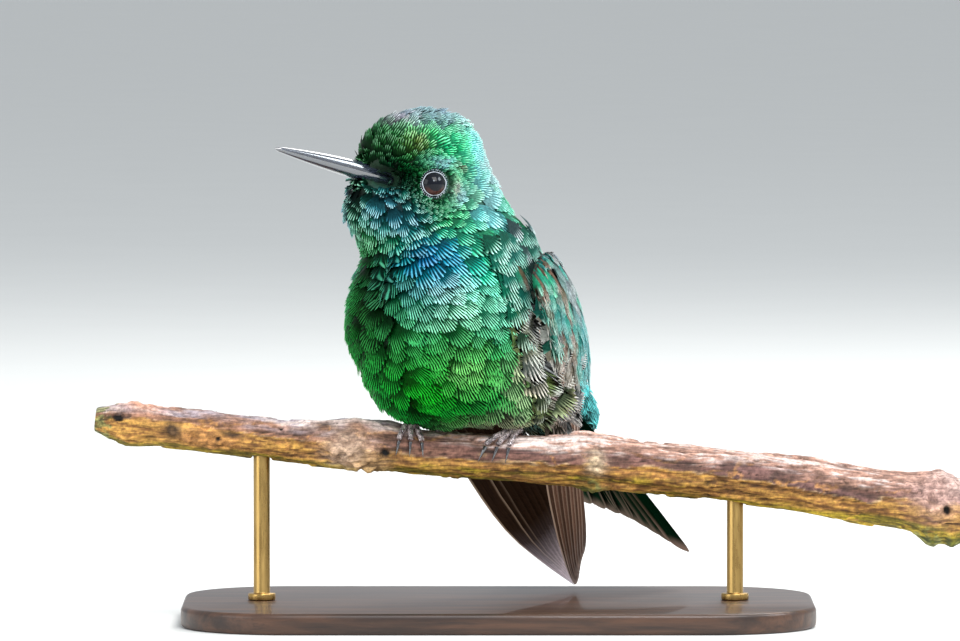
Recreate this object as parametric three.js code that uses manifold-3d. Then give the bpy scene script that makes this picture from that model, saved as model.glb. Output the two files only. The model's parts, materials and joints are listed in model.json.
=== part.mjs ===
// A life-size hummingbird, at rest on a cut length of branch that two pins hold over a plain base.
// Millimetres, +Z up. The origin is the middle of the base's underside and the branch runs along X.
// In the bird's own group +X is its left, -Y is forwards and the group's origin is the top of the branch.
import * as THREE from "three";
import { mergeVertices } from "three/addons/utils/BufferGeometryUtils.js";
import Module from "manifold-3d";

const wasm = await Module();
wasm.setup();

// ---- Driving dimensions ----

const GAP = 0.3; // clearance kept between pieces that touch
const DEG = Math.PI / 180;
const v3 = (x, y, z) => new THREE.Vector3(x, y, z);

const STAND = {
  length: 96,
  depth: 54,
  thick: 3.2,
  corner: 16,
  bevel: 0.7,
  pinRadius: 1.25,
  pinSpan: 36, // each pin stands this far from the middle
  pinFoot: 1.4, // height of a pin's lower end inside the base
  pinReach: 2.6, // how far a pin goes into the branch
};

// The branch's centre line, its radius along it, and the knots on it.
const PERCH = {
  line: [
    v3(-61.3, 0.6, 30.7),
    v3(-50, 0.3, 29.4),
    v3(-32, -0.3, 27.4),
    v3(-8, 0, 25.4),
    v3(16, 0.3, 23.9),
    v3(40, -0.2, 21.6),
    v3(58, 0.2, 18.7),
    v3(71.5, 0.4, 16.6),
  ],
  radius: [2.5, 3.35, 3.35, 3.5, 3.95, 4.05, 4.25, 4.4],
  sides: 12,
  steps: 27,
  grain: 0.1, // height of the lengthwise ridges
  startClosing: 0.72, // how much thinner the natural end is
  // along is the place on the line in X, turn the side it faces: 0 is forwards, 90 is up
  knots: [
    { along: -55.5, turn: 95, height: 1.0, width: 3.2 },
    { along: -56, turn: -60, height: 0.7, width: 4.0 },
    { along: -24, turn: -35, height: 1.0, width: 3.6 },
    { along: -19.5, turn: -84, height: 1.8, width: 3.6 },
    { along: 13.5, turn: -75, height: 0.9, width: 3.4 },
    { along: 66, turn: 20, height: 0.9, width: 4.2 },
    { along: 66, turn: -90, height: 1.3, width: 3.0 },
  ],
};

const BIRD = {
  place: v3(-8.1, 0, 29.1), // where its middle plane meets the top of the branch
  yaw: -40, // its heading, turned from straight forwards
};

// The feathered outline of head, neck and body: rounded masses that blend into each other.
// at is the middle, size the half-lengths across, fore-and-aft and up.
const HEAD = { at: v3(-0.5, -4.6, 39.8), yaw: -20, pitch: 6 };
const TAIL = {
  root: v3(1.0, 19.6, 7.8),
  yaw: 5,
  pitch: 43,
  roll: 20,
  feathers: 10,
  spread: 18, // outermost feather from the middle line
  rootHalf: 2.6,
  length: 36.8,
  fork: 1.2, // how much longer the outer feathers are
  halfWidth: 2.6,
  start: 0.08, // share of the length where the blades leave the root
  arch: 0.9, // how much the middle feathers lie above the outer ones
  sag: 0.7, // how far the tips curve down
};
const MASSES = [
  { name: "skull", at: HEAD.at, size: v3(7.4, 9.4, 8.1), yaw: HEAD.yaw, pitch: HEAD.pitch },
  { name: "forehead", at: v3(-2.2, -8.9, 42.6), size: v3(5.9, 5.0, 5.5), yaw: HEAD.yaw, pitch: 0 },
  { name: "hindcrown", at: v3(0.8, -0.7, 41.6), size: v3(6.4, 5.0, 5.9), yaw: HEAD.yaw, pitch: 0 },
  { name: "face", at: v3(-3.0, -10.8, 37.8), size: v3(4.6, 5.0, 4.3), yaw: HEAD.yaw, pitch: 12 },
  { name: "throat", at: v3(-2.9, -8.5, 34.0), size: v3(7.8, 7.6, 7.0), yaw: HEAD.yaw, pitch: 0 },
  { name: "nape", at: v3(0.6, 1.5, 32), size: v3(7.6, 9.0, 9.2), yaw: 0, pitch: -12 },
  { name: "shoulders", at: v3(0, -1.4, 23.5), size: v3(12.6, 11.4, 10.2), yaw: 0, pitch: 0 },
  { name: "breast", at: v3(0, -1.6, 16.4), size: v3(14.6, 14.6, 12.2), yaw: 0, pitch: 0 },
  { name: "mantle", at: v3(0, 8.8, 20), size: v3(11.0, 10, 11.8), yaw: 0, pitch: -10 },
  { name: "scapulars", at: v3(0, 6.6, 27.4), size: v3(10.2, 7.2, 5.0), yaw: 0, pitch: -20 },
  { name: "belly", at: v3(0, 3.9, 9.9), size: v3(13.4, 13.2, 9.8), yaw: 0, pitch: 0 },
  { name: "paunch", at: v3(-1.5, -2.9, 7.6), size: v3(9.2, 8.0, 6.7), yaw: 0, pitch: 0 },
  { name: "flankLeft", at: v3(9.8, 6.4, 6.6), size: v3(4.2, 6.2, 6.8), yaw: 0, pitch: 0 },
  { name: "flankRight", at: v3(-9.8, 6.4, 6.6), size: v3(4.2, 6.2, 6.8), yaw: 0, pitch: 0 },
  { name: "rump", at: v3(0.5, 16.6, 9.0), size: v3(9.0, 9.0, 6.9), yaw: 0, pitch: 38 },
  { name: "overTail", at: v3(1.2, 26.9, 4.3), size: v3(6.6, 9.8, 2.9), yaw: 5, pitch: 43, roll: 16 },
  { name: "underTail", at: v3(0.8, 21.4, 1.9), size: v3(4.4, 7.4, 2.8), yaw: 5, pitch: 43, roll: 16 },
];
const BLEND = 1.25; // how far the masses melt into each other
const FLESH_CELL = 2.82; // size of the faces of the feathered outline

// Planes that part the outline: a point on each plane and the side that the named piece lies on.
const CUTS = {
  head: { at: v3(0, -6, 33.9), facing: v3(0, 0.1, 1) },
  neck: { at: v3(0, -4, 26.4), facing: v3(0, -0.12, 1) },
  breast: { at: v3(0, 2.5, 15.2), facing: v3(0, -0.62, 0.785) }, // from the belly
  back: { at: v3(0, 14, 13.5), facing: v3(0, 0.35, 0.94) }, // from the rump
  front: { at: v3(0, 6.5, 15), facing: v3(0, -0.785, -0.62) }, // breast and belly from back and rump
};

const EYE = {
  radius: 2.1,
  forward: 2.2, // from the middle of the head
  out: 7.0,
  up: -2.2,
};

// The bill, from its root inside the face to its tip; it starts below and ahead of the head's middle.
const BILL = {
  root: v3(-2.35, -10.6, 38.4),
  buried: 1.5,
  yaw: -20,
  pitch: 15,
  length: 20.1,
  halfWidth: 1.55,
  halfDepth: 1.3,
  upperShare: 1.08, // the upper half's depth against halfDepth
  lowerShare: 0.92, // the lower half's width and depth
  taper: 0.83, // share of the width and depth lost at the tip
  droop: 0.2,
};

// The wings as curved sheets between their two edges, from the wrist to the tip. Each rests a little
// to the bird's left, so the two are given apart, both with +X outwards.
const WING = {
  left: {
    leading: [
      v3(11.8, 0.8, 28.2),
      v3(15.0, 4.6, 15.5),
      v3(10.8, 11.4, 3.4),
      v3(7.4, 15.2, -7.0),
      v3(5.2, 20.6, -16.5),
      v3(3.2, 26.6, -24.8),
    ],
    trailing: [
      v3(6.6, 13.0, 28.8),
      v3(10.4, 17.4, 15.5),
      v3(9.4, 19.8, 3.5),
      v3(7.5, 23.2, -7.5),
      v3(6.1, 26.0, -17),
      v3(4.0, 27.8, -24.4),
    ],
  },
  right: {
    leading: [
      v3(11.8, 0.8, 28.2),
      v3(15.0, 4.6, 15.5),
      v3(11.6, 9.0, 3.0),
      v3(7.2, 13.6, -8.0),
      v3(3.8, 20.6, -17.8),
      v3(-1.0, 28.4, -25.0),
    ],
    trailing: [
      v3(6.6, 13.0, 28.8),
      v3(10.4, 17.6, 15.5),
      v3(7.2, 22.0, 3.5),
      v3(2.0, 26.4, -7.5),
      v3(-0.6, 29.2, -17),
      v3(-1.8, 30.0, -24.4),
    ],
  },
  camber: 2.2, // bulge of the sheet at the shoulder
  tipCamber: 0.4,
  feathers: 7, // ends that show along the trailing edge
  outer: 0.985, // where the outermost of them ends
  inner: 0.88, // where the innermost of them ends
  notch: 0.025,
  thick: 0.6,
  ridge: 0.2, // height of each feather's shaft
  rows: 5,
  start: 0.14, // where the feathers leave the coverts' shelter
  covertThick: 1.0,
  covertLift: 0.75, // clearance over the shafts
  covertEnd: 0.4, // share of the wing that the coverts hide
  covertSpan: [0.04, 0.97], // between the leading edge and the trailing one
  covertScallops: 3,
  scallopDepth: 0.025,
};

const LEG = {
  tarsusRadius: 0.55,
  toeRadius: 0.48,
  clawRadius: 0.36,
  toeSpread: 1.75, // how far the outer toes' ends are from the middle toe's
  padRadius: 0.95,
  toeTurn: [82, 29], // from the top of the branch round its front
  clawTurn: [24, -7],
  hindTurn: [99, 156],
  hindClawTurn: [163, 188],
  // Each foot: its place along the branch, how its toes slant, and its ankle in the branch's frame.
  feet: {
    left: { along: 2.6, slant: -2.9, ankle: v3(1.2, 2.2, 9.6) },
    right: { along: -13.7, slant: 0.2, ankle: v3(0.9, 2.2, 8.6) },
  },
};

// ---- Solids ----

// The turn of a piece: yaw to the bird's left, pitch nose up and roll left side down, in degrees.
function turned({ yaw, pitch, roll = 0 }) {
  return new THREE.Quaternion().setFromEuler(
    new THREE.Euler(-pitch * DEG, roll * DEG, yaw * DEG, "ZXY"),
  );
}

// A three.js primitive with its seams welded, so that it can be turned and moved safely.
function welded(geometry) {
  geometry.deleteAttribute("normal");
  geometry.deleteAttribute("uv");
  return mergeVertices(geometry, 1e-4);
}

// A closed geometry as a manifold-3d solid.
function solidFrom(geometry) {
  const merged = geometry.index ? geometry : welded(geometry);
  const mesh = new wasm.Mesh({
    numProp: 3,
    vertProperties: new Float32Array(merged.attributes.position.array),
    triVerts: new Uint32Array(merged.index.array),
  });
  return new wasm.Manifold(mesh);
}

function geometryFrom(solid) {
  const mesh = solid.getMesh();
  const points = new Float32Array(mesh.numVert * 3);
  for (let i = 0; i < mesh.numVert; i++) {
    points.set(mesh.vertProperties.subarray(i * mesh.numProp, i * mesh.numProp + 3), i * 3);
  }
  const geometry = new THREE.BufferGeometry();
  geometry.setAttribute("position", new THREE.BufferAttribute(points, 3));
  geometry.setIndex(new THREE.BufferAttribute(new Uint32Array(mesh.triVerts), 1));
  geometry.computeVertexNormals();
  return geometry;
}

// A skin over rings of equally many points, closed by a fan at each end.
function loft(rings) {
  const sides = rings[0].length;
  const points = rings.flat();
  const faces = [];
  for (let r = 0; r + 1 < rings.length; r++) {
    for (let s = 0; s < sides; s++) {
      const a = r * sides + s;
      const b = r * sides + ((s + 1) % sides);
      faces.push(a, b, b + sides, a, b + sides, a + sides);
    }
  }
  const last = (rings.length - 1) * sides;
  const middle = (ring) => ring.reduce((sum, p) => sum.add(p), v3(0, 0, 0)).divideScalar(sides);
  points.push(middle(rings[0]), middle(rings[rings.length - 1]));
  for (let s = 0; s < sides; s++) {
    const next = (s + 1) % sides;
    faces.push(points.length - 2, next, s, points.length - 1, last + s, last + next);
  }
  return facingOut(points, faces);
}

// A closed sheet between a grid of points and a second grid below it.
function slab(top, bottom) {
  const [rows, columns] = [top.length, top[0].length];
  const points = [...top.flat(), ...bottom.flat()];
  const under = rows * columns;
  const faces = [];
  const quad = (a, b, c, d) => faces.push(a, b, c, a, c, d);
  for (let r = 0; r + 1 < rows; r++) {
    for (let c = 0; c + 1 < columns; c++) {
      const a = r * columns + c;
      quad(a, a + 1, a + columns + 1, a + columns);
      quad(under + a, under + a + columns, under + a + columns + 1, under + a + 1);
    }
    const first = r * columns;
    const last = first + columns - 1;
    quad(first, first + columns, under + first + columns, under + first);
    quad(last + columns, last, under + last, under + last + columns);
  }
  for (let c = 0; c + 1 < columns; c++) {
    const end = (rows - 1) * columns + c;
    quad(c + 1, c, under + c, under + c + 1);
    quad(end, end + 1, under + end + 1, under + end);
  }
  return facingOut(points, faces);
}

// A geometry whose faces are turned round as a whole when they point inwards.
function facingOut(points, faces) {
  let volume = 0;
  for (let i = 0; i < faces.length; i += 3) {
    const [a, b, c] = faces.slice(i, i + 3).map((f) => points[f]);
    volume += a.dot(b.clone().cross(c));
  }
  const geometry = new THREE.BufferGeometry().setFromPoints(points);
  geometry.setIndex(volume < 0 ? faces.reverse() : faces);
  return geometry;
}

// A round tube along a curve, its radius given by a function of the share of the way along.
function tube(curve, radiusAt, sides, steps) {
  const frames = curve.computeFrenetFrames(steps, false);
  const rings = [];
  for (let i = 0; i <= steps; i++) {
    const share = i / steps;
    const middle = curve.getPointAt(share);
    const radius = radiusAt(share);
    rings.push(
      Array.from({ length: sides }, (_, s) => {
        const turn = (s / sides) * 2 * Math.PI;
        return middle
          .clone()
          .addScaledVector(frames.normals[i], Math.cos(turn) * radius)
          .addScaledVector(frames.binormals[i], Math.sin(turn) * radius);
      }),
    );
  }
  return loft(rings);
}

// A sphere with its poles on Z, as a closed geometry.
function ball(radius, columns, rows) {
  return welded(new THREE.SphereGeometry(radius, columns, rows));
}

// Everything on the side of a plane that facing points to, as a box far larger than the bird.
function halfSpace({ at, facing }, sign) {
  const reach = 160;
  const normal = facing.clone().normalize().multiplyScalar(sign);
  const turn = new THREE.Quaternion().setFromUnitVectors(v3(0, 0, 1), normal);
  const middle = at.clone().addScaledVector(normal, reach / 2 + GAP / 2);
  const box = welded(new THREE.BoxGeometry(reach, reach, reach));
  box.applyMatrix4(new THREE.Matrix4().compose(middle, turn, v3(1, 1, 1)));
  return solidFrom(box);
}

// The biggest body of a solid that a cut has left in several.
function largest(solid) {
  return solid.decompose().reduce((best, body) => (body.volume() > best.volume() ? body : best));
}

// ---- Feathered outline of the body ----

// Signed distance to the blended masses, near enough for a smooth surface.
function fleshField(masses) {
  const shaped = masses.map((mass) => ({ ...mass, back: turned(mass).invert() }));
  const local = v3(0, 0, 0);
  return (x, y, z) => {
    let sum = 0;
    for (const mass of shaped) {
      local.set(x, y, z).sub(mass.at).applyQuaternion(mass.back);
      const near = Math.hypot(local.x / mass.size.x, local.y / mass.size.y, local.z / mass.size.z);
      const slope = Math.hypot(
        local.x / mass.size.x ** 2,
        local.y / mass.size.y ** 2,
        local.z / mass.size.z ** 2,
      );
      const distance = slope > 1e-9 ? (near * (near - 1)) / slope : -mass.size.x;
      sum += Math.exp(-distance / BLEND);
    }
    return -BLEND * Math.log(sum);
  };
}

// The surface where a field is 0, as one vertex in each cell that it crosses (a surface net).
function surfaceNet(field, low, high, cell) {
  const count = high.clone().sub(low).divideScalar(cell).ceil();
  const [nx, ny, nz] = [count.x + 1, count.y + 1, count.z + 1];
  const index = (i, j, k) => i + nx * (j + ny * k);
  const values = new Float32Array(nx * ny * nz);
  for (let k = 0; k < nz; k++) {
    for (let j = 0; j < ny; j++) {
      for (let i = 0; i < nx; i++) {
        values[index(i, j, k)] = field(low.x + i * cell, low.y + j * cell, low.z + k * cell);
      }
    }
  }
  const vertexOf = new Map();
  const points = [];
  const edges = [];
  for (const [a, b, c] of [[1, 0, 0], [0, 1, 0], [0, 0, 1]]) {
    for (const [s, t] of [[0, 0], [1, 0], [0, 1], [1, 1]]) {
      const from = a ? [0, s, t] : b ? [s, 0, t] : [s, t, 0];
      edges.push([from, [from[0] + a, from[1] + b, from[2] + c]]);
    }
  }
  for (let k = 0; k + 1 < nz; k++) {
    for (let j = 0; j + 1 < ny; j++) {
      for (let i = 0; i + 1 < nx; i++) {
        const sum = v3(0, 0, 0);
        let crossings = 0;
        for (const [from, to] of edges) {
          const here = values[index(i + from[0], j + from[1], k + from[2])];
          const there = values[index(i + to[0], j + to[1], k + to[2])];
          if (here < 0 === there < 0) continue;
          const share = here / (here - there);
          sum.add(v3(...from).lerp(v3(...to), share));
          crossings++;
        }
        if (!crossings) continue;
        vertexOf.set(index(i, j, k), points.length);
        points.push(sum.divideScalar(crossings).add(v3(i, j, k)).multiplyScalar(cell).add(low));
      }
    }
  }
  const faces = [];
  const quad = (a, b, c, d, flip) => {
    const [p, q, r, s] = [a, b, c, d].map((key) => vertexOf.get(key));
    faces.push(...(flip ? [p, r, q, p, s, r] : [p, q, r, p, r, s]));
  };
  for (let k = 1; k + 1 < nz; k++) {
    for (let j = 1; j + 1 < ny; j++) {
      for (let i = 1; i + 1 < nx; i++) {
        const inside = values[index(i, j, k)] < 0;
        const at = (di, dj, dk) => index(i - di, j - dj, k - dk);
        if (inside !== values[index(i + 1, j, k)] < 0) {
          quad(at(0, 1, 1), at(0, 0, 1), at(0, 0, 0), at(0, 1, 0), !inside);
        }
        if (inside !== values[index(i, j + 1, k)] < 0) {
          quad(at(1, 0, 1), at(1, 0, 0), at(0, 0, 0), at(0, 0, 1), !inside);
        }
        if (inside !== values[index(i, j, k + 1)] < 0) {
          quad(at(1, 1, 0), at(0, 1, 0), at(0, 0, 0), at(1, 0, 0), !inside);
        }
      }
    }
  }
  const geometry = new THREE.BufferGeometry().setFromPoints(points);
  geometry.setIndex(faces);
  return geometry;
}

// ---- Flight feathers ----

const joined = (geometries) => geometries.map(solidFrom).reduce((whole, other) => whole.add(other));

// Feathers side by side as one sheet: a column for each shaft, which stands proud and reaches its
// feather's tip, and one for each border, which ends in a notch.
function featherSheet(placeAt, start, tips, grow) {
  const { notch, thick, ridge, rows } = WING;
  const columns = 2 * tips.length + 1;
  const ends = Array.from({ length: columns }, (_, c) => {
    if (c % 2) return tips[(c - 1) / 2];
    const beside = [tips[c / 2 - 1], tips[c / 2]].filter((tip) => tip !== undefined);
    return Math.min(...beside) - notch;
  });
  const [top, bottom] = [[], []];
  for (let r = 0; r <= rows; r++) {
    const reach = (end) => THREE.MathUtils.lerp(start - grow * 0.02, end + grow * 0.02, r / rows);
    const places = ends.map((end, c) => placeAt(reach(end), c / (columns - 1)));
    places.forEach((place, c) => {
      if (c === 0) place.middle.addScaledVector(place.across, -grow);
      if (c === columns - 1) place.middle.addScaledVector(place.across, grow);
    });
    const shift = (p, height) => p.middle.clone().addScaledVector(p.normal, height);
    top.push(places.map((p, c) => shift(p, thick / 2 + grow + (c % 2 ? ridge : 0))));
    bottom.push(places.map((p) => shift(p, -thick / 2 - grow)));
  }
  return solidFrom(slab(top, bottom));
}

// The wing's sheet: along runs from the wrist to the tip, over from the leading edge to the trailing one.
function wingSheet(side) {
  const { leading, trailing } = side > 0 ? WING.left : WING.right;
  const mirror = (p) => v3(p.x * side, p.y, p.z);
  const front = new THREE.CatmullRomCurve3(leading.map(mirror));
  const rear = new THREE.CatmullRomCurve3(trailing.map(mirror));
  const pointAt = (along, over) => {
    const a = front.getPoint(along);
    const b = rear.getPoint(along);
    const down = front.getTangent(along).add(rear.getTangent(along)).normalize();
    const out = b.clone().sub(a).cross(down).multiplyScalar(-side).normalize();
    const camber = THREE.MathUtils.lerp(WING.camber, WING.tipCamber, Math.min(1, along * 1.25));
    return a.lerp(b, over).addScaledVector(out, camber * 4 * over * (1 - over));
  };
  return (along, over) => {
    const step = 0.02;
    const middle = pointAt(along, over);
    const down = pointAt(Math.min(1, along + step), over).sub(pointAt(Math.max(0, along - step), over));
    const across = pointAt(along, over + step).sub(pointAt(along, over - step)).normalize();
    const normal = across.clone().cross(down).multiplyScalar(-side).normalize();
    return { middle, across, normal };
  };
}

function flightFeathers(side, grow) {
  const sheet = wingSheet(side);
  const tips = Array.from({ length: WING.feathers }, (_, k) => {
    const inner = k / (WING.feathers - 1);
    return THREE.MathUtils.lerp(WING.outer, WING.inner, inner ** 1.3);
  });
  return featherSheet(sheet, WING.start, tips, grow);
}

// The coverts as one scalloped shield over the roots of the flight feathers.
function wingCoverts(side, grow) {
  const sheet = wingSheet(side);
  const low = WING.thick / 2 + WING.covertLift - grow;
  const [near, far] = WING.covertSpan;
  const columns = 3 * WING.covertScallops;
  const rows = 4;
  const [top, bottom] = [[], []];
  for (let r = 0; r <= rows; r++) {
    const places = Array.from({ length: columns + 1 }, (_, c) => {
      const over = THREE.MathUtils.lerp(near - 0.1 * grow, far + 0.1 * grow, c / columns);
      const scallop = WING.scallopDepth * Math.abs(Math.sin((c / 3) * Math.PI));
      const end = WING.covertEnd + scallop + 0.05 * over;
      const start = 0.01 + 0.07 * (2 * over - 1) ** 2;
      return { ...sheet(THREE.MathUtils.lerp(start, end, r / rows), over), share: c / columns };
    });
    const swell = (share) => Math.sqrt(Math.sin(Math.PI * THREE.MathUtils.clamp(share, 0.1, 0.9)));
    const thick = (share) => WING.covertThick * (0.55 + 0.45 * swell(share));
    bottom.push(places.map((p) => p.middle.clone().addScaledVector(p.normal, low)));
    top.push(
      places.map((p) => p.middle.clone().addScaledVector(p.normal, low + thick(p.share) + 2 * grow)),
    );
  }
  return solidFrom(slab(top, bottom));
}

function tailFeathers(grow) {
  const turn = turned(TAIL);
  const across = v3(1, 0, 0).applyQuaternion(turn);
  const normal = v3(0, 0, 1).applyQuaternion(turn);
  const half = TAIL.rootHalf + TAIL.halfWidth;
  const placeAt = (along, over) => {
    const place = 2 * over - 1; // -1 right edge, 1 left edge
    const angle = place * TAIL.spread * DEG;
    const reach = along * TAIL.length;
    const middle = TAIL.root
      .clone()
      .addScaledVector(across, place * half * Math.min(1, 0.6 + along) + Math.sin(angle) * reach)
      .addScaledVector(v3(0, 1, 0).applyQuaternion(turn), Math.cos(angle) * reach)
      .addScaledVector(normal, (1 - place * place) * TAIL.arch - along * along * TAIL.sag);
    return { middle, across, normal };
  };
  const tips = Array.from({ length: TAIL.feathers }, (_, k) => {
    const outer = Math.abs((2 * k) / (TAIL.feathers - 1) - 1);
    return 1 - (TAIL.fork / TAIL.length) * (1 - outer ** 1.4);
  });
  return featherSheet(placeAt, TAIL.start, tips, grow);
}

// ---- Head fittings ----

// One half of the bill: level 1 is the upper half with its ridge, -1 the lower half.
function billHalf(level, grow) {
  const turn = turned(BILL);
  const total = BILL.length + BILL.buried;
  const steps = 9;
  const rings = [];
  for (let i = 0; i <= steps; i++) {
    const share = i / steps;
    const taper = 1 - BILL.taper * share ** 1.9;
    const wide = BILL.halfWidth * taper * (level > 0 ? 1 : BILL.lowerShare) + grow;
    const deep = BILL.halfDepth * taper * (level > 0 ? BILL.upperShare : BILL.lowerShare);
    const flat = level * (GAP / 2) * (1 - share * 0.5) - level * grow;
    const droop = -BILL.droop * share * share;
    const ring = [];
    const sides = 7;
    for (let s = 0; s <= sides; s++) {
      const around = (s / sides) * Math.PI;
      ring.push(v3(Math.cos(around) * wide, 0, level * Math.sin(around) * (deep + 2 * grow) + flat));
    }
    rings.push(
      ring.map((p) =>
        v3(p.x, BILL.buried + grow - share * (total + grow), p.z + droop)
          .applyQuaternion(turn)
          .add(BILL.root),
      ),
    );
  }
  return loft(rings);
}

function eyeMiddle(side) {
  return v3(side * EYE.out, -EYE.forward, EYE.up)
    .applyQuaternion(turned(HEAD))
    .add(HEAD.at);
}

function eyeBall(side, grow) {
  const at = eyeMiddle(side);
  return ball(EYE.radius + grow, 11, 7).rotateX(Math.PI / 2).translate(at.x, at.y, at.z);
}

// ---- Perch ----

const perchLine = new THREE.CatmullRomCurve3(PERCH.line);

// The middle of the branch at a place along X.
function perchAt(x) {
  let [low, high] = [0, 1];
  for (let i = 0; i < 30; i++) {
    const share = (low + high) / 2;
    if (perchLine.getPointAt(share).x < x) low = share;
    else high = share;
  }
  return { share: low, middle: perchLine.getPointAt(low) };
}

function perchRadius(share, turn, x) {
  const place = share * (PERCH.radius.length - 1);
  const cell = Math.min(PERCH.radius.length - 2, Math.floor(place));
  let radius = THREE.MathUtils.lerp(PERCH.radius[cell], PERCH.radius[cell + 1], place - cell);
  radius += PERCH.grain * Math.sin(5 * turn + x * 0.21) + PERCH.grain * Math.sin(3 * turn - x * 0.4);
  for (const knot of PERCH.knots) {
    const facing = Math.max(0, Math.cos(turn - knot.turn * DEG));
    radius += knot.height * facing ** 2 * Math.exp(-(((x - knot.along) / knot.width) ** 2));
  }
  return radius;
}

function perchBranch(grow) {
  const rings = [];
  for (let i = 0; i <= PERCH.steps; i++) {
    const share = i / PERCH.steps;
    const middle = perchLine.getPointAt(share);
    const along = perchLine.getTangentAt(share);
    const front = v3(0, -1, 0).projectOnPlane(along).normalize();
    const up = front.clone().cross(along).multiplyScalar(-1).normalize();
    const closing = i === 0 ? PERCH.startClosing : 1;
    rings.push(
      Array.from({ length: PERCH.sides }, (_, s) => {
        const turn = (s / PERCH.sides) * 2 * Math.PI;
        const radius = closing * perchRadius(share, turn, middle.x) + grow;
        return middle
          .clone()
          .addScaledVector(front, Math.cos(turn) * radius)
          .addScaledVector(up, Math.sin(turn) * radius);
      }),
    );
  }
  return solidFrom(loft(rings));
}

// ---- Stand ----

function standBase() {
  const { length, depth, thick, corner, bevel } = STAND;
  const [x, y] = [length / 2 - bevel, depth / 2 - bevel];
  const outline = new THREE.Shape();
  outline.moveTo(-x + corner, -y);
  outline.lineTo(x - corner, -y);
  outline.absarc(x - corner, -y + corner, corner, -Math.PI / 2, 0);
  outline.lineTo(x, y - corner);
  outline.absarc(x - corner, y - corner, corner, 0, Math.PI / 2);
  outline.lineTo(-x + corner, y);
  outline.absarc(-x + corner, y - corner, corner, Math.PI / 2, Math.PI);
  outline.lineTo(-x, -y + corner);
  outline.absarc(-x + corner, -y + corner, corner, Math.PI, 1.5 * Math.PI);
  const plate = new THREE.ExtrudeGeometry(outline, {
    depth: thick - 2 * bevel,
    bevelThickness: bevel,
    bevelSize: bevel,
    bevelSegments: 1,
    curveSegments: 4,
  });
  return solidFrom(plate.translate(0, 0, bevel));
}

function standPin(side, grow) {
  const x = side * STAND.pinSpan;
  const { middle } = perchAt(x);
  const foot = STAND.pinFoot - grow;
  const top = middle.z - PERCH.radius[3] + STAND.pinReach + grow;
  const radius = STAND.pinRadius + grow;
  const pin = welded(new THREE.CylinderGeometry(radius, radius, top - foot, 16));
  return solidFrom(pin.rotateX(Math.PI / 2).translate(x, middle.y, (top + foot) / 2));
}

// ---- Legs ----

// A point at a turn round the branch, as seen in the foot's own frame: 90 is up and 0 forwards.
function roundPerch(turn, radius, along) {
  return v3(along, -Math.cos(turn * DEG) * radius, Math.sin(turn * DEG) * radius);
}

function toePath([from, to], reach, alongFrom, alongTo) {
  const points = [0, 0.25, 0.5, 0.75, 1].map((share) =>
    roundPerch(
      THREE.MathUtils.lerp(from, to, share),
      reach,
      THREE.MathUtils.lerp(alongFrom, alongTo, share),
    ),
  );
  return new THREE.CatmullRomCurve3(points);
}

// Where a foot stands: a frame along the branch, and the branch's half-thickness there.
function footFrame(foot) {
  const { share, middle } = perchAt(foot.along);
  const along = perchLine.getTangentAt(share);
  const frame = new THREE.Matrix4()
    .makeRotationY(-Math.atan2(along.z, along.x))
    .setPosition(middle);
  const rises = [0, 30, 60, 90, 120, 150, 180].map((turn) => perchRadius(share, turn * DEG, middle.x));
  return { frame, half: Math.max(...rises) };
}

function footPieces({ slant, ankle }, perchHalf, grow) {
  const reach = perchHalf + GAP + LEG.toeRadius;
  const clawReach = perchHalf + GAP + LEG.clawRadius;
  const knuckles = (share) =>
    LEG.toeRadius * (0.86 + 0.14 * Math.abs(Math.cos(share * 3 * Math.PI))) * (1 - 0.15 * share) + grow;
  const tapering = (share) => LEG.clawRadius * (1.05 - 0.93 * share);
  const toes = [];
  const claws = [];
  for (const place of [-1, 0, 1]) {
    const [near, far] = [0.45 * place, LEG.toeSpread * place + slant];
    toes.push(tube(toePath(LEG.toeTurn, reach, near, far), knuckles, 5, 3));
    const tip = far + (far - near) * 0.25;
    claws.push(tube(toePath(LEG.clawTurn, clawReach, far, tip), tapering, 5, 4));
  }
  toes.push(tube(toePath(LEG.hindTurn, reach, 0, -slant * 0.5), knuckles, 5, 3));
  claws.push(tube(toePath(LEG.hindClawTurn, clawReach, -slant * 0.55, -slant * 0.7), tapering, 5, 4));
  const sole = roundPerch(94, reach + 0.25, 0);
  const pad = ball(LEG.padRadius + grow, 7, 5)
    .scale(1.05, 1.3, 0.62)
    .translate(sole.x, sole.y, sole.z + 0.1);
  const shank = new THREE.CatmullRomCurve3([
    sole,
    sole.clone().lerp(ankle, 0.5).add(v3(0.1, -0.25, 0)),
    ankle,
  ]);
  const tarsus = tube(shank, (share) => LEG.tarsusRadius * (1 + 0.35 * share * share) + grow, 7, 3);
  return { leg: joined([tarsus, pad, ...toes]), claws };
}

// ---- The whole model ----

const LOOKS = {
  plumage: { color: 0x1f7d4a, roughness: 0.45, metalness: 0.35 },
  wing: { color: 0x5a4a44, roughness: 0.55, metalness: 0.1 },
  coverts: { color: 0x3c9aa0, roughness: 0.45, metalness: 0.3 },
  tail: { color: 0x16332e, roughness: 0.45, metalness: 0.3 },
  bill: { color: 0x1d1e24, roughness: 0.3, metalness: 0.0 },
  eye: { color: 0x0b0a0c, roughness: 0.08, metalness: 0.0 },
  leg: { color: 0x6b5654, roughness: 0.55, metalness: 0.0 },
  claw: { color: 0x3a3a44, roughness: 0.35, metalness: 0.0 },
  bark: { color: 0x7d5a45, roughness: 0.9, metalness: 0.0 },
  base: { color: 0x3a2a20, roughness: 0.5, metalness: 0.0 },
  pin: { color: 0xb08d57, roughness: 0.3, metalness: 1.0 },
};

function piece(name, geometry, look) {
  const mesh = new THREE.Mesh(geometry, new THREE.MeshStandardMaterial(LOOKS[look]));
  mesh.name = name;
  return mesh;
}

const birdFrame = new THREE.Matrix4()
  .makeRotationZ(BIRD.yaw * DEG)
  .setPosition(BIRD.place);

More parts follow.
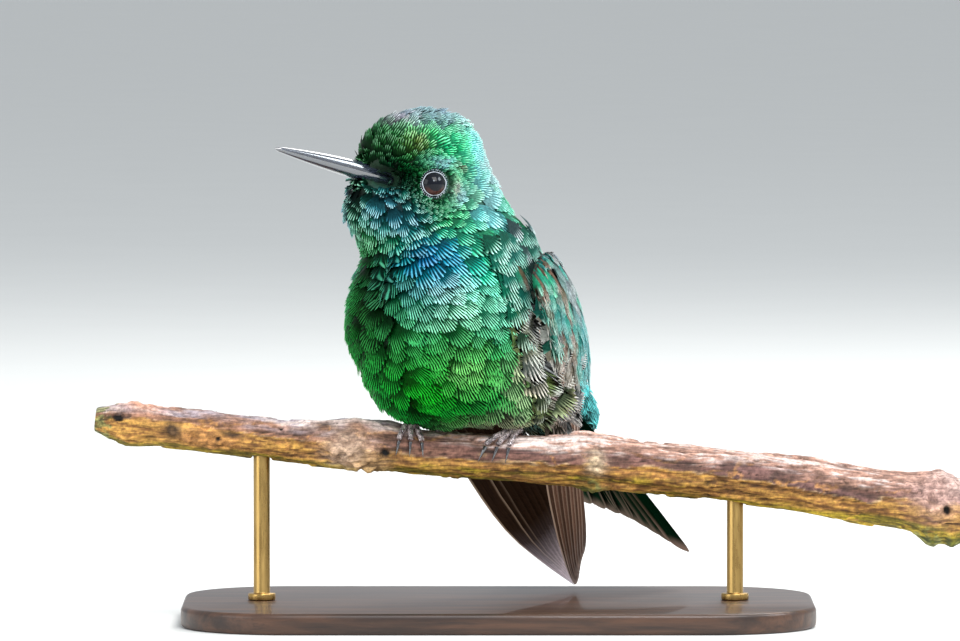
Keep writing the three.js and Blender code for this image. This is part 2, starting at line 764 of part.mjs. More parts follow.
// What the feathered outline must leave room for, in the bird's frame.
function roomTaken() {
  const toBird = birdFrame.clone().invert();
  const settled = [geometryFrom(perchBranch(GAP))];
  for (const foot of Object.values(LEG.feet)) {
    const { frame, half } = footFrame(foot);
    const { leg } = footPieces(foot, half, GAP);
    settled.push(geometryFrom(leg).applyMatrix4(frame));
  }
  return [
    ...settled.map((geometry) => solidFrom(geometry.applyMatrix4(toBird))),
    ...[1, -1].flatMap((side) => [flightFeathers(side, GAP), wingCoverts(side, GAP)]),
    ...[1, -1].map((side) => solidFrom(eyeBall(side, GAP))),
    ...[1, -1].map((level) => solidFrom(billHalf(level, GAP))),
    tailFeathers(GAP),
  ];
}

function buildBody() {
  const field = fleshField(MASSES);
  const flesh = solidFrom(surfaceNet(field, v3(-20, -24, -12), v3(20, 38, 54), FLESH_CELL));
  const body = roomTaken().reduce((whole, other) => whole.subtract(other), flesh);
  const keep = (...walls) =>
    largest(walls.reduce((whole, [cut, sign]) => whole.intersect(halfSpace(CUTS[cut], sign)), body));
  const trunk = [["neck", -1], ["head", -1]];
  return {
    head: keep(["head", 1]),
    neck: keep(["head", -1], ["neck", 1]),
    breast: keep(...trunk, ["front", 1], ["breast", 1]),
    belly: keep(...trunk, ["front", 1], ["breast", -1]),
    back: keep(...trunk, ["front", -1], ["back", 1]),
    rump: keep(...trunk, ["front", -1], ["back", -1]),
  };
}

function buildBird() {
  const bird = new THREE.Group();
  bird.applyMatrix4(birdFrame);
  for (const [name, solid] of Object.entries(buildBody())) {
    bird.add(piece(name, geometryFrom(solid), "plumage"));
  }
  for (const [name, side] of [["left", 1], ["right", -1]]) {
    bird.add(piece("wing_" + name, geometryFrom(flightFeathers(side, 0)), "wing"));
    bird.add(piece("wing_coverts_" + name, geometryFrom(wingCoverts(side, 0)), "coverts"));
    bird.add(piece("eye_" + name, eyeBall(side, 0), "eye"));
  }
  bird.add(piece("tail", geometryFrom(tailFeathers(0)), "tail"));
  bird.add(piece("bill_upper", billHalf(1, 0), "bill"));
  bird.add(piece("bill_lower", billHalf(-1, 0), "bill"));
  return bird;
}

function buildLegs() {
  const legs = new THREE.Group();
  for (const [name, foot] of Object.entries(LEG.feet)) {
    const { frame, half } = footFrame(foot);
    const onPerch = new THREE.Group();
    onPerch.applyMatrix4(frame);
    const { leg, claws } = footPieces(foot, half, 0);
    onPerch.add(piece("leg_" + name, geometryFrom(leg), "leg"));
    claws.forEach((claw, i) => onPerch.add(piece(`claw_${name}_${i + 1}`, claw, "claw")));
    legs.add(onPerch);
  }
  return legs;
}

function buildStand() {
  const stand = new THREE.Group();
  let base = standBase();
  let branch = perchBranch(0);
  for (const [name, side] of [["left", -1], ["right", 1]]) {
    base = base.subtract(standPin(side, GAP));
    branch = branch.subtract(standPin(side, GAP));
    stand.add(piece("stand_pin_" + name, geometryFrom(standPin(side, 0)), "pin"));
  }
  stand.add(piece("stand_base", geometryFrom(base), "base"));
  stand.add(piece("perch_branch", geometryFrom(branch), "bark"));
  return stand;
}

const model = new THREE.Group();
model.add(buildStand(), buildLegs(), buildBird());
export default model;
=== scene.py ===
import json
import math

import bpy
import numpy as np
from mathutils import Matrix, Vector, noise
from mathutils.bvhtree import BVHTree
from mathutils.kdtree import KDTree

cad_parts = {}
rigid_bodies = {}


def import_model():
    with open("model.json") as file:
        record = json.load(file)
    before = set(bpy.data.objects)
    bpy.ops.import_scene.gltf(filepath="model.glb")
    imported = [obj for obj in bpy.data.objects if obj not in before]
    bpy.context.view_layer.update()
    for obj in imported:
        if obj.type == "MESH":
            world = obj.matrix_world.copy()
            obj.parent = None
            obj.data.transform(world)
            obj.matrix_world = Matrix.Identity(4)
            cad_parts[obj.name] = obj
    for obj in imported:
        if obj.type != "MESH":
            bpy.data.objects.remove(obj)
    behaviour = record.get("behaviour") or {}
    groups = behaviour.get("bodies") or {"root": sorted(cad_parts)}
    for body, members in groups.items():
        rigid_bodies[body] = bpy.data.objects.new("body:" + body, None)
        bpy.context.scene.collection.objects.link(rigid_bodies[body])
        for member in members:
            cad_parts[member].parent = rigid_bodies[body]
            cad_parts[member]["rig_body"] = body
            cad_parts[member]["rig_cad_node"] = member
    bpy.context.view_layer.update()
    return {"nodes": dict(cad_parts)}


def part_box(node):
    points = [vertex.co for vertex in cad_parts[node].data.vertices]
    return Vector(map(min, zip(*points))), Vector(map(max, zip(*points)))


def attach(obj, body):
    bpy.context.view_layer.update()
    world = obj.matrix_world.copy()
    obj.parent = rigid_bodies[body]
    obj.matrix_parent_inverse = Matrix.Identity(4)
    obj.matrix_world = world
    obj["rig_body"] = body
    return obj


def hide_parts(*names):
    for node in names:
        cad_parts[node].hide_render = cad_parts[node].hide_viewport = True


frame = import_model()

mm = 0.001
birdPlace = {"at": (-8.1, 0.0, 29.1), "yaw": -40.0}  # mm; in the bird's own frame +X is its left, -Y forwards
headPlace = {"at": (-0.5, -4.6, 39.8), "yaw": -20.0, "pitch": 6.0}
print("frame loaded:", len(frame["nodes"]), "nodes")


# small helpers

def turn(yaw=0.0, pitch=0.0, roll=0.0):
    steps = ((yaw, "Z"), (-pitch, "X"), (roll, "Y"))
    made = Matrix.Identity(3)
    for angle, axis in steps:
        made = made @ Matrix.Rotation(math.radians(angle), 3, axis)
    return np.array(made)


birdTurn = turn(birdPlace["yaw"])
headTurn = turn(headPlace["yaw"], headPlace["pitch"])
birdAt = np.array(birdPlace["at"])
headAt = np.array(headPlace["at"])


def toBird(points):  # metres in the row's frame to millimetres in the bird's
    return (np.asarray(points) / mm - birdAt) @ birdTurn


def toWorld(points):
    return (np.asarray(points) @ birdTurn.T + birdAt) * mm


def toHead(points):  # bird's millimetres to the head's
    return (np.asarray(points) - headAt) @ headTurn


def smooth(value, low, high):
    share = np.clip((np.asarray(value, float) - low) / (high - low), 0, 1)
    return share * share * (3 - 2 * share)


def mix(a, b, share):
    return a + (b - a) * share


def unit(vectors):
    length = np.linalg.norm(vectors, axis=-1, keepdims=True)
    return vectors / np.maximum(length, 1e-9)


def paint(red, green, blue):  # 0 to 255 as a screen shows them, to linear light
    return np.array([(c / 255 / 12.92) if c < 11 else ((c / 255 + 0.055) / 1.055) ** 2.4
                     for c in (red, green, blue)])


def brightest(colour):  # the same hue at full strength
    return colour / np.maximum(colour.max(1, keepdims=True), 0.02)


def softNoise(points, scale, seed=0.0):
    return np.array([noise.noise(Vector((p[0] * scale[0] + seed, p[1] * scale[1], p[2] * scale[2])))
                     for p in points])


def deselect():
    if bpy.context.object and bpy.context.object.mode != "OBJECT":
        bpy.ops.object.mode_set(mode="OBJECT")
    bpy.ops.object.select_all(action="DESELECT")


def choose(piece):
    deselect()
    piece.select_set(True)
    bpy.context.view_layer.objects.active = piece


def settle(piece):  # its place goes into its mesh
    choose(piece)
    bpy.ops.object.transform_apply(location=True, rotation=True, scale=True)


def openMesh(piece):  # edit mode, with everything selected
    choose(piece)
    bpy.ops.object.mode_set(mode="EDIT")
    bpy.ops.mesh.select_all(action="SELECT")


def closeMesh():
    bpy.ops.object.mode_set(mode="OBJECT")


def turnOut(piece):  # faces point outwards
    openMesh(piece)
    bpy.ops.mesh.normals_make_consistent(inside=False)
    closeMesh()


def smoothByAngle(degrees):
    bpy.ops.object.shade_smooth_by_angle(angle=math.radians(degrees))


def inScene(piece):
    bpy.context.scene.collection.objects.link(piece)
    return piece


def nodeCopy(name):
    copy = frame["nodes"][name].copy()
    copy.data = copy.data.copy()
    copy.parent = None
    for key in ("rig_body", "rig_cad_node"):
        if key in copy:
            del copy[key]
    return inScene(copy)


def joinAll(pieces):  # into the first of them
    deselect()
    for piece in pieces:
        piece.select_set(True)
    bpy.context.view_layer.objects.active = pieces[0]
    if len(pieces) > 1:
        bpy.ops.object.join()
    return bpy.context.object


def joinedCopies(name, nodes, grow=0.0):
    copies = [nodeCopy(node) for node in nodes]
    for copy in copies:
        openMesh(copy)
        bpy.ops.mesh.remove_doubles(threshold=1e-6)
        if grow:
            bpy.ops.transform.shrink_fatten(value=grow * mm)
        closeMesh()
    whole = joinAll(copies)
    whole.name = name
    whole.data.name = name
    whole.data.materials.clear()
    return whole


def addModifier(piece, kind, **values):
    modifier = piece.modifiers.new(kind.lower(), kind)
    for key, value in values.items():
        setattr(modifier, key, value)
    return modifier


def applyAll(piece):
    choose(piece)
    for modifier in list(piece.modifiers):
        bpy.ops.object.modifier_apply(modifier=modifier.name)


def relax(piece, rounds):
    addModifier(piece, "SMOOTH", factor=0.5, iterations=rounds)
    applyAll(piece)


def remesh(piece, size):
    choose(piece)
    piece.data.remesh_voxel_size = size * mm
    piece.data.remesh_voxel_adaptivity = 0
    bpy.ops.object.voxel_remesh()


def rebuild(piece, size, rounds):  # one even, smooth shell
    remesh(piece, size)
    relax(piece, rounds)


def ofVertices(piece, key):
    values = np.empty(len(piece.data.vertices) * 3, np.float32)
    piece.data.vertices.foreach_get(key, values)
    return values.reshape(-1, 3).astype(float)


def pointsOf(piece):
    return ofVertices(piece, "co")


def normalsOf(piece):
    return ofVertices(piece, "normal")


def movePoints(piece, points):
    piece.data.vertices.foreach_set("co", np.asarray(points, np.float32).ravel())
    piece.data.update()


def setColour(piece, name, values):
    attribute = piece.data.color_attributes.new(name, "FLOAT_COLOR", "POINT")
    full = np.ones((len(values), 4), np.float32)
    full[:, :3] = values
    attribute.data.foreach_set("color", full.ravel())


def setNumber(piece, name, values):
    attribute = piece.data.attributes.new(name, "FLOAT", "POINT")
    attribute.data.foreach_set("value", np.asarray(values, np.float32).ravel())


def dress(piece, material, slot, *replaced):
    piece.data.materials.clear()
    piece.data.materials.append(material)
    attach(piece, "root")
    if replaced:
        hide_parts(*replaced)


def meshPiece(name, points, faces, smoothFaces=False):
    mesh = bpy.data.meshes.new(name)
    mesh.from_pydata([tuple(p) for p in points], [], [tuple(f) for f in faces])
    mesh.update()
    if smoothFaces:
        mesh.shade_smooth()
    return inScene(bpy.data.objects.new(name, mesh))


# materials: a small way of writing node trees

class Tree:
    def __init__(self, name, **constants):
        self.material = bpy.data.materials.new(name)
        self.material.use_nodes = True
        self.nodes = self.material.node_tree.nodes
        self.links = self.material.node_tree.links
        self.shader = self.nodes["Principled BSDF"]
        for key, value in constants.items():
            self.shader.inputs[key.replace("_", " ")].default_value = value

    def add(self, kind, inputs=(), **settings):
        made = self.nodes.new("ShaderNode" + kind)
        for key, value in settings.items():
            setattr(made, key, value)
        for key, value in dict(inputs).items():
            socket = made.inputs[key]
            if isinstance(value, bpy.types.NodeSocket):
                self.links.new(value, socket)
            else:
                socket.default_value = value
        return made

    def attribute(self, name, output="Fac"):
        return self.add("Attribute", attribute_name=name).outputs[output]

    def place(self, scale=(1, 1, 1), turned=(0, 0, 0)):
        spot = self.add("TexCoord").outputs["Object"]
        inputs = {"Vector": spot, "Scale": scale, "Rotation": [math.radians(a) for a in turned]}
        return self.add("Mapping", inputs).outputs["Vector"]

    def noise(self, spot, scale, detail=3.0, rough=0.55, stretch=0.0):
        inputs = {"Vector": spot, "Scale": scale, "Detail": detail, "Roughness": rough, "Distortion": stretch}
        return self.add("TexNoise", inputs).outputs["Fac"]

    def span(self, value, low, high, start=0.0, end=1.0):
        inputs = {"Value": value, "From Min": low, "From Max": high, "To Min": start, "To Max": end}
        return self.add("MapRange", inputs, interpolation_type="SMOOTHSTEP").outputs["Result"]

    def mix(self, share, a, b, blend="MIX"):
        made = self.add("Mix", data_type="RGBA", blend_type=blend)
        for socket, value in ((made.inputs[0], share), (made.inputs[6], a), (made.inputs[7], b)):
            if isinstance(value, bpy.types.NodeSocket):
                self.links.new(value, socket)
            elif socket.type == "RGBA":
                socket.default_value = (*value, 1)
            else:
                socket.default_value = value
        return made.outputs[2]

    def sum(self, a, b, operation="ADD"):
        return self.add("Math", {0: a, 1: b}, operation=operation).outputs[0]

    def feed(self, name, value):
        self.links.new(value, self.shader.inputs[name])

    def bump(self, height, strength, depth):
        made = self.add("Bump", {"Height": height, "Strength": strength, "Distance": depth * mm})
        self.links.new(made.outputs["Normal"], self.shader.inputs["Normal"])


def plumageMaterial(name, gloss):
    tree = Tree(name, Metallic=gloss["metal"], Roughness=gloss["rough"], Specular_IOR_Level=gloss["shine"])
    tint = tree.attribute("tint", "Color")
    pale = tree.attribute("pale", "Color")
    along = tree.attribute("along")
    barb = tree.span(tree.attribute("barb"), 0.4, 0.92)
    speck = tree.noise(tree.place(), 2600, 2, 0.6)
    # painted shade between barbs: the valleys take the tint darkened to near black (gap), lighter where the soft
    # attribute is high
    gap = tree.mix(tree.attribute("soft"), gloss["gap"], (0.6, 0.6, 0.6))
    dark = tree.mix(1.0, tint, gap, "MULTIPLY")
    # the pale lines on the barb ridges are a painted highlight, shown by barbGlint towards each feather's end
    paleFrom = tree.sum(along, tree.sum(tree.attribute("late"), 0.28, "MULTIPLY"), "SUBTRACT")
    barbGlint = tree.sum(tree.span(paleFrom, 0.5, 0.75), tree.attribute("barbGlint"), "MULTIPLY")
    bright = tree.mix(barbGlint, tint, pale)
    # painted shadow at each feather's root, where the feather above overlaps it
    shown = tree.span(along, gloss["shade"], 0.88, 0.04, 1.0)
    colour = tree.mix(tree.sum(barb, shown, "MULTIPLY"), dark, bright)
    lively = tree.mix(tree.span(speck, 0.3, 0.7), (0.75, 0.75, 0.75), (1.2, 1.2, 1.2))
    tree.feed("Base Color", tree.mix(1.0, colour, lively, "MULTIPLY"))
    return tree.material


plumage = plumageMaterial("plumage", {"metal": 0.35, "rough": 0.45, "shine": 0.05, "shade": 0.5,
                                      "gap": (0.05, 0.07, 0.07)})


def skinMaterial():
    tree = Tree("skinPaintedShade", Roughness=0.8)
    spots = tree.noise(tree.place(), 900, 4)
    tint = tree.attribute("tint", "Color")
    # painted shade: the skin between the feathers takes the tint darkened to a tenth to a quarter
    deep = tree.mix(1.0, tint, (0.1, 0.11, 0.11), "MULTIPLY")
    soft = tree.mix(1.0, tint, (0.26, 0.28, 0.27), "MULTIPLY")
    tree.feed("Base Color", tree.mix(tree.span(spots, 0.35, 0.65), deep, soft))
    tree.bump(spots, 0.6, 0.2)
    return tree.material


# markings, some with painted sheen or shade, in the head's frame and in the bird's; mirrored ones lie on both sides
# each is colour, middle, reach, strength, mirrored

headMarks = {
    # hindCrownMint, nape, brow and earMint: the plumage's turquoise with painted sheen where it faces the light
    "hindCrownMint": (paint(126, 240, 206), (4.4, 6.8, 3.0), (4.2, 4.4, 6.0), 0.95, True),
    "nape": (paint(168, 232, 220), (0, 9.5, 0), (6, 4, 7), 0.95, False),
    "crownSide": (paint(40, 172, 112), (6.4, 0.5, 3.6), (3, 4.2, 2.6), 0.9, True),
    "foreheadDark": (paint(30, 84, 38), (2.4, -8.6, 1.6), (5.2, 3.6, 3.6), 0.95, True),
    "bronze": (paint(100, 92, 40), (5.4, -4.6, 3.2), (1.8, 2.2, 1.8), 0.55, True),
    # painted sheen: grey and lilac-white on the crown's top, where light grazes it
    "crownSheenGrey": (paint(128, 156, 168), (0.6, 0.5, 7.4), (4.6, 6.5, 2.0), 0.9, False),
    "crownSheenLilac": (paint(196, 190, 204), (1.4, -6.2, 7.2), (3.6, 2.5, 1.6), 0.95, False),
    "brow": (paint(140, 232, 204), (7.0, -1.2, 0.9), (2.4, 2.6, 1.0), 0.9, True),
    "cheek": (paint(44, 156, 96), (7.2, 1.5, -6.2), (3.5, 4.2, 3.2), 0.9, True),
    "earMint": (paint(156, 232, 204), (7.4, 2.6, -3.4), (2.2, 2.6, 2.4), 0.8, True),
    "earPatch": (paint(206, 190, 180), (7.3, 0.8, -2.4), (0.8, 0.8, 1.2), 0.7, True),
    "browBrown": (paint(136, 108, 92), (6.9, 2.0, 0.7), (1.2, 1.5, 0.5), 0.6, True),
    "earSlot": (paint(140, 110, 98), (6.6, 6.4, -4.0), (0.9, 1.0, 1.3), 0.65, True),
    "throatTeal": (paint(66, 138, 154), (4.6, -8.6, -6.6), (3.8, 4.4, 4.4), 0.95, True),
    "throatSlate": (paint(62, 134, 158), (6.4, -5.4, -8.6), (3.0, 3.6, 3.0), 0.85, True),
    # chinDark: the throat's own dark teal, with painted shade where it turns away from the light
    "chinDark": (paint(8, 34, 32), (-0.8, -11.6, -6.8), (3.6, 2.6, 7.0), 0.95, False),
    "lore": (paint(4, 5, 5), (5.4, -7.0, -1.4), (2.6, 2.4, 1.5), 1.0, True),
}
bodyMarks = {
    "back": (paint(34, 138, 116), (0, 15, 22), (12, 9, 14), 1.0, False),
    "rump": (paint(112, 226, 232), (0, 22, 7), (10, 12, 10), 1.0, False),
    "rumpEnd": (paint(112, 226, 236), (0, 30, 2.5), (9, 9, 6.5), 0.95, False),
    "underTail": (paint(128, 130, 112), (0, 19, -2), (6, 10, 5), 0.9, False),
    # breastDark: the breast's own green, with painted shade on the side away from the light
    "breastDark": (paint(9, 66, 14), (-3.5, -14, 20), (5.5, 6, 9), 0.95, False),
    # sideTurquoise and neckMint: the plumage's green and turquoise with painted sheen where the side faces the light
    "sideTurquoise": (paint(44, 190, 146), (14, -3, 23), (5, 8, 8.5), 0.95, True),
    "neckMint": (paint(122, 240, 214), (8.8, 1.6, 33), (3.4, 6, 5), 0.95, True),
    "shoulderGreen": (paint(36, 172, 84), (10.8, 2.6, 26.0), (2.6, 3.2, 3.4), 0.85, True),
    "breastTeal": (paint(30, 138, 96), (7, -12, 19), (5, 5, 3.6), 0.8, False),
    "breastBlue": (paint(34, 142, 172), (7.0, -10.6, 25.4), (6.6, 5.6, 4.8), 0.95, False),
    "blueDeep": (paint(34, 112, 172), (5.6, -11.4, 27.2), (3.4, 3.4, 2.2), 0.5, False),
    "breastBlueRight": (paint(26, 112, 160), (-12.5, -3.5, 25.5), (4, 5, 4), 0.8, False),
    "bellyBright": (paint(8, 160, 30), (5.5, -11.5, 5.5), (6.5, 7, 5.2), 0.9, False),
    # edgeGreen: the belly's own green, with a painted rim light along its far edge
    "edgeGreen": (paint(6, 150, 40), (-12.5, -9.5, 16), (4, 4, 3.6), 0.8, False),
    "olive": (paint(36, 112, 34), (10.8, -7.5, 9.5), (4.4, 6.0, 6.0), 0.85, True),
    "flankBrown": (paint(200, 180, 160), (14.6, 4.6, 8.8), (3.2, 4.8, 5.0), 1.0, True),
    "flankRear": (paint(172, 144, 126), (9.5, 14.0, 4.0), (5.5, 6.5, 5.0), 0.95, True),
    "buff": (paint(206, 192, 168), (8.0, 3.0, 0.6), (5.5, 6.5, 2.4), 0.9, True),
}
glintSpots = {  # where the painted highlight of pale barb lines shows most: middle, reach, strength, mirrored, in the bird's frame
    "throat": ((4, -13, 33), (8, 7, 8), 1.0, True),
    "breast": ((9, -10, 20), (6, 8, 6), 1.0, True),
    "side": ((14, -2, 20), (4, 8, 10), 0.9, True),
    "belly": ((10.5, -8, 9), (6, 7, 7), 1.0, True),
    "neck": ((8, 1, 34), (4, 8, 7), 0.75, True),
    "flank": ((14, 5, 7), (4, 6, 6), 0.95, True),
    "crown": ((2, -2, 46), (7, 8, 3), 0.5, False),
    "hindHead": ((7, 4, 42), (6, 7, 6), 0.85, True),
    "ear": ((8, -1, 37), (4, 4.5, 4), 0.85, True),
}
softSpots = {  # where the painted shade in the gaps between barbs is shallow and light
    "hindHead": ((7, 3, 42), (6, 7, 7), 0.6, True),
    "nape": ((4, 6, 36), (8, 8, 8), 0.5, True),
    "ear": ((8.5, -2, 37), (4, 4, 4), 0.4, True),
    "neck": ((9.5, 2, 32), (4, 7, 6), 0.25, True),
    "flank": ((14, 5, 8), (4, 5, 7), 0.2, True),
    "crown": ((1, -4, 47), (6, 8, 2.5), 0.3, False),
}


def near(points, middle, reach, mirrored):
    spot = points.copy()
    if mirrored:
        spot[:, 0] = np.abs(spot[:, 0])
    return np.exp(-1.2 * (((spot - np.array(middle)) / np.array(reach)) ** 2).sum(1))


def marked(colour, marks, points, limit):
    for mark, middle, reach, strength, mirrored in marks.values():
        share = near(points, middle, reach, mirrored)[:, None] * strength * limit
        colour = mix(colour, mark, np.clip(share * 1.25, 0, 1))
    return colour


def strongest(spots, points, least):
    shares = [near(points, middle, reach, mirrored) * strength
              for middle, reach, strength, mirrored in spots.values()]
    return np.maximum(np.max(shares, 0), least)


def markings(points):  # bird's millimetres to colour with painted shade in the crease, the painted highlight's pale line colour, how much of it shows and how light the painted shade between barbs is
    heads = toHead(points)
    colour = marked(np.tile(paint(17, 124, 48), (len(points), 1)), bodyMarks, points, 1)
    colour = marked(colour, headMarks, heads, smooth(points[:, 2], 27, 33)[:, None])
    # painted shade in the parting down the right of the breast: the colour darkens by up to 0.6 there
    colour = colour * (1 - 0.6 * creaseShare(points)[0])[:, None]
    # barbGlint: how strongly the painted highlight on the barbs shows, less on the black lores and on the breast
    # side away from the light
    barbGlint = strongest(glintSpots, points, 0.3)
    blackness = near(heads, (5.4, -7.4, -1.0), (3.4, 3.6, 2.4), True)
    barbGlint *= 1 - np.clip(blackness * 1.6, 0, 1)
    barbGlint *= 1 - 0.85 * near(points, (-5, -14, 19), (7.5, 8, 11), False)
    # the painted highlight's pale line colour: whiter high on the body and on the belly's side, yellower low down
    whiteness = smooth(points[:, 2], 8, 21) * (1 - 0.8 * near(points, (-6, -14, 19), (7, 8, 11), False))
    whiteness = np.maximum(0.04 + 0.5 * whiteness, 0.34 * near(points, (10.5, -8, 9), (4.5, 6, 6), True))
    lineColour = mix(np.array([0.8, 0.95, 0.6]), np.array([0.84, 1.0, 0.95]), smooth(points[:, 2], 10, 17)[:, None])
    pale = mix(brightest(colour), lineColour, whiteness[:, None])
    return colour, pale * 0.95, barbGlint, strongest(softSpots, points, 0)


# skin: the flesh nodes as one smooth surface, drawn in by the coat's depth

skinSet = {"voxel": 0.5, "smoothing": 14, "lastSmoothing": 4, "grow": 0.25, "headDepth": 0.85,
           "bodyDepth": 1.5, "tailDepth": 0.6, "chinDepth": 0.35}
flesh = ("head", "neck", "breast", "belly", "back", "rump")
billSet = {"root": (-2.35, -10.6, 38.4), "yaw": -20.0, "pitch": 15.0, "length": 20.1, "buried": 2.4,
           "halfWidth": 1.5, "halfDepth": 1.32, "taper": 0.83, "droop": 0.2}
billTurn = turn(billSet["yaw"], billSet["pitch"])
billAt = np.array(billSet["root"])
eyeSet = {"radius": 2.1, "ringRadius": 1.86, "forward": 12.0, "mound": 3.4, "clear": 2.25}


def coatDepth(points):
    onHead = smooth(points[:, 2], 27, 33)
    depth = mix(skinSet["bodyDepth"], skinSet["headDepth"], onHead)
    depth = depth + skinSet["chinDepth"] * near(toHead(points), (3, -9, -7), (6, 5, 5), True) * onHead
    return mix(depth, skinSet["tailDepth"], smooth(points[:, 1], 17, 22) * (1 - smooth(points[:, 2], 8, 14)))


def eyePlace(side):  # middle in the bird's frame and the way it looks
    low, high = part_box("eye_" + ("left" if side > 0 else "right"))
    middle = toBird([(low + high) / 2])[0]
    yaw = math.radians(eyeSet["forward"])
    return middle, headTurn @ np.array([side * math.cos(yaw), -math.sin(yaw), 0.04])


def eyeOffsets(points, side):  # the eye's axis, and how high along it and how far out from it points are
    middle, axis = eyePlace(side)
    offset = points - middle
    high = offset @ axis
    out = offset - high[:, None] * axis
    return axis, high, out, np.linalg.norm(out, axis=1)


def aroundEyes(points):  # the skin rises to a low mound round each eye
    for side in (1, -1):
        axis, high, _, wide = eyeOffsets(points, side)
        rim = math.sqrt(eyeSet["radius"] ** 2 - eyeSet["ringRadius"] ** 2)
        level = np.where(wide < eyeSet["ringRadius"], 0.35, rim - 0.16 - 0.42 * np.maximum(0, wide - 2.1))
        share = (1 - smooth(wide, 2.3, 2.3 + eyeSet["mound"])) * (high > -2.5)
        lift = np.where(wide < eyeSet["ringRadius"], level - high, np.maximum(0, level - high))
        points = points + (lift * share)[:, None] * axis
    return points


def besideBill(points):  # the lores draw in, so that the bill's sides show to its root
    local = (points - billAt) @ billTurn
    ahead = -local[:, 1]
    level = 1 - smooth(np.abs(local[:, 2] + 0.1), 1.0, 2.3)
    reach = smooth(ahead, -2.6, 0.2)
    limit = 0.95 + 0.5 * np.maximum(0, 0.3 - ahead)
    inward = np.maximum(0, np.abs(local[:, 0]) - limit) * level * reach * (np.abs(local[:, 0]) < 6)
    local[:, 0] -= np.sign(local[:, 0]) * inward
    return local @ billTurn.T + billAt


creaseSet = {"turn": 1.2, "low": 13.0, "high": 27.0, "wide": 1.0, "deep": 0.7}


def creaseShare(points):  # a parting in the feathers down the right of the breast
    turned = np.degrees(np.arctan2(points[:, 0], -points[:, 1]))
    middle = creaseSet["turn"] + 3 * np.sin(points[:, 2] * 0.5) - 0.5 * (points[:, 2] - 20)
    off = np.radians(turned - middle) * np.hypot(points[:, 0], points[:, 1])
    level = smooth(points[:, 2], creaseSet["low"] - 3, creaseSet["low"] + 3)
    level *= 1 - smooth(points[:, 2], creaseSet["high"] - 3, creaseSet["high"] + 1)
    return np.exp(-(off / creaseSet["wide"]) ** 2) * level * (points[:, 1] < 0), off


def makeSkin():
    skin = joinedCopies("skin", flesh, skinSet["grow"])  # grown, so that the thin cuts close
    rebuild(skin, skinSet["voxel"], skinSet["smoothing"])
    points = toBird(pointsOf(skin))
    normals = normalsOf(skin) @ birdTurn
    depth = coatDepth(points) + skinSet["grow"] + creaseSet["deep"] * creaseShare(points)[0]
    points = points - normals * depth[:, None]
    points = aroundEyes(besideBill(points))
    movePoints(skin, toWorld(points))
    relax(skin, skinSet["lastSmoothing"])
    skin.data.shade_smooth()
    openMesh(skin)
    bpy.ops.uv.smart_project(angle_limit=math.radians(66), island_margin=0.004)
    closeMesh()
    skin.data.uv_layers[0].name = "skinUnwrap"
    setColour(skin, "tint", markings(toBird(pointsOf(skin)))[0])
    return skin


skin = makeSkin()
dress(skin, skinMaterial(), "belly_plumage", *flesh)
print("skin:", len(skin.data.polygons), "faces")


class Surface:  # a surface that feathers lie on, in the bird's millimetres
    def __init__(self, points, faces):
        self.points = np.asarray(points, float)
        self.faces = faces
        self.tree = BVHTree.FromPolygons([Vector(p) for p in self.points], faces)
        triangles = np.array([face[:3] for face in faces])
        a, b, c = (self.points[triangles[:, i]] for i in range(3))
        flat = np.cross(b - a, c - a)
        normals = np.zeros_like(self.points)
        for i in range(len(faces[0])):
            np.add.at(normals, np.array([face[i % len(face)] for face in faces]), flat)
        normals = unit(normals)
        self.faceNormals = unit(sum(normals[[face[i % len(face)] for face in faces]] for i in range(4)))

    def nearest(self, points):
        spots = np.empty_like(points)
        index = np.zeros(len(points), int)
        for i, point in enumerate(points):
            spots[i], _, index[i], _ = self.tree.find_nearest(Vector(point))
        return spots, self.faceNormals[index], index


def surfaceOf(piece):
    faces = [tuple(polygon.vertices) for polygon in piece.data.polygons]
    return Surface(toBird(pointsOf(piece)), faces)


def surfaceOnly(piece):  # the piece itself goes
    made = surfaceOf(piece)
    bpy.data.objects.remove(piece)
    return made


wingLines = {  # the folded wings' edges from the wrist to the tip, both with +X outwards
    "left": {
        "leading": ((11.8, 0.8, 28.2), (15.0, 4.6, 15.5), (10.8, 11.4, 3.4), (7.4, 15.2, -7.0),
                    (5.2, 20.6, -16.5), (3.2, 26.6, -24.8)),
        "trailing": ((6.6, 13.0, 28.8), (10.4, 17.4, 15.5), (9.4, 19.8, 3.5), (7.5, 23.2, -7.5),
                     (6.1, 26.0, -17.0), (4.0, 27.8, -24.4)),
    },
    "right": {
        "leading": ((11.8, 0.8, 28.2), (15.0, 4.6, 15.5), (11.6, 9.0, 3.0), (7.2, 13.6, -8.0),
                    (3.8, 20.6, -17.8), (-1.0, 28.4, -25.0)),
        "trailing": ((6.6, 13.0, 28.8), (10.4, 17.6, 15.5), (7.2, 22.0, 3.5), (2.0, 26.4, -7.5),
                     (-0.6, 29.2, -17.0), (-1.8, 30.0, -24.4)),
    },
}
wingNodes = ("wing_left", "wing_right", "wing_coverts_left", "wing_coverts_right")
wingSet = {"camber": 2.2, "tipCamber": 0.4, "primaries": 9, "secondaries": 6, "start": 0.2,
           "outer": 1.01, "inner": 0.88, "tip": 0.1}


def spline(points, share):  # a smooth line through the points
    points = np.asarray(points, float)
    last = len(points) - 1
    made = []
    for place in np.atleast_1d(share) * last:
        i = int(min(max(math.floor(place), 0), last - 1))
        w = place - i
        before = points[i - 1] if i else 2 * points[0] - points[1]
        after = points[i + 2] if i + 2 <= last else 2 * points[last] - points[last - 1]
        a, b = points[i], points[i + 1]
        d0, d1, d2 = (np.linalg.norm(q - p) ** 0.5 for p, q in ((before, a), (a, b), (b, after)))
        t1 = ((a - before) / d0 - (b - before) / (d0 + d1) + (b - a) / d1) * d1
        t2 = ((b - a) / d1 - (after - a) / (d1 + d2) + (after - b) / d2) * d1
        made.append(a + w * t1 + w * w * (-3 * a + 3 * b - 2 * t1 - t2) + w ** 3 * (2 * a - 2 * b + t1 + t2))
    return np.array(made)


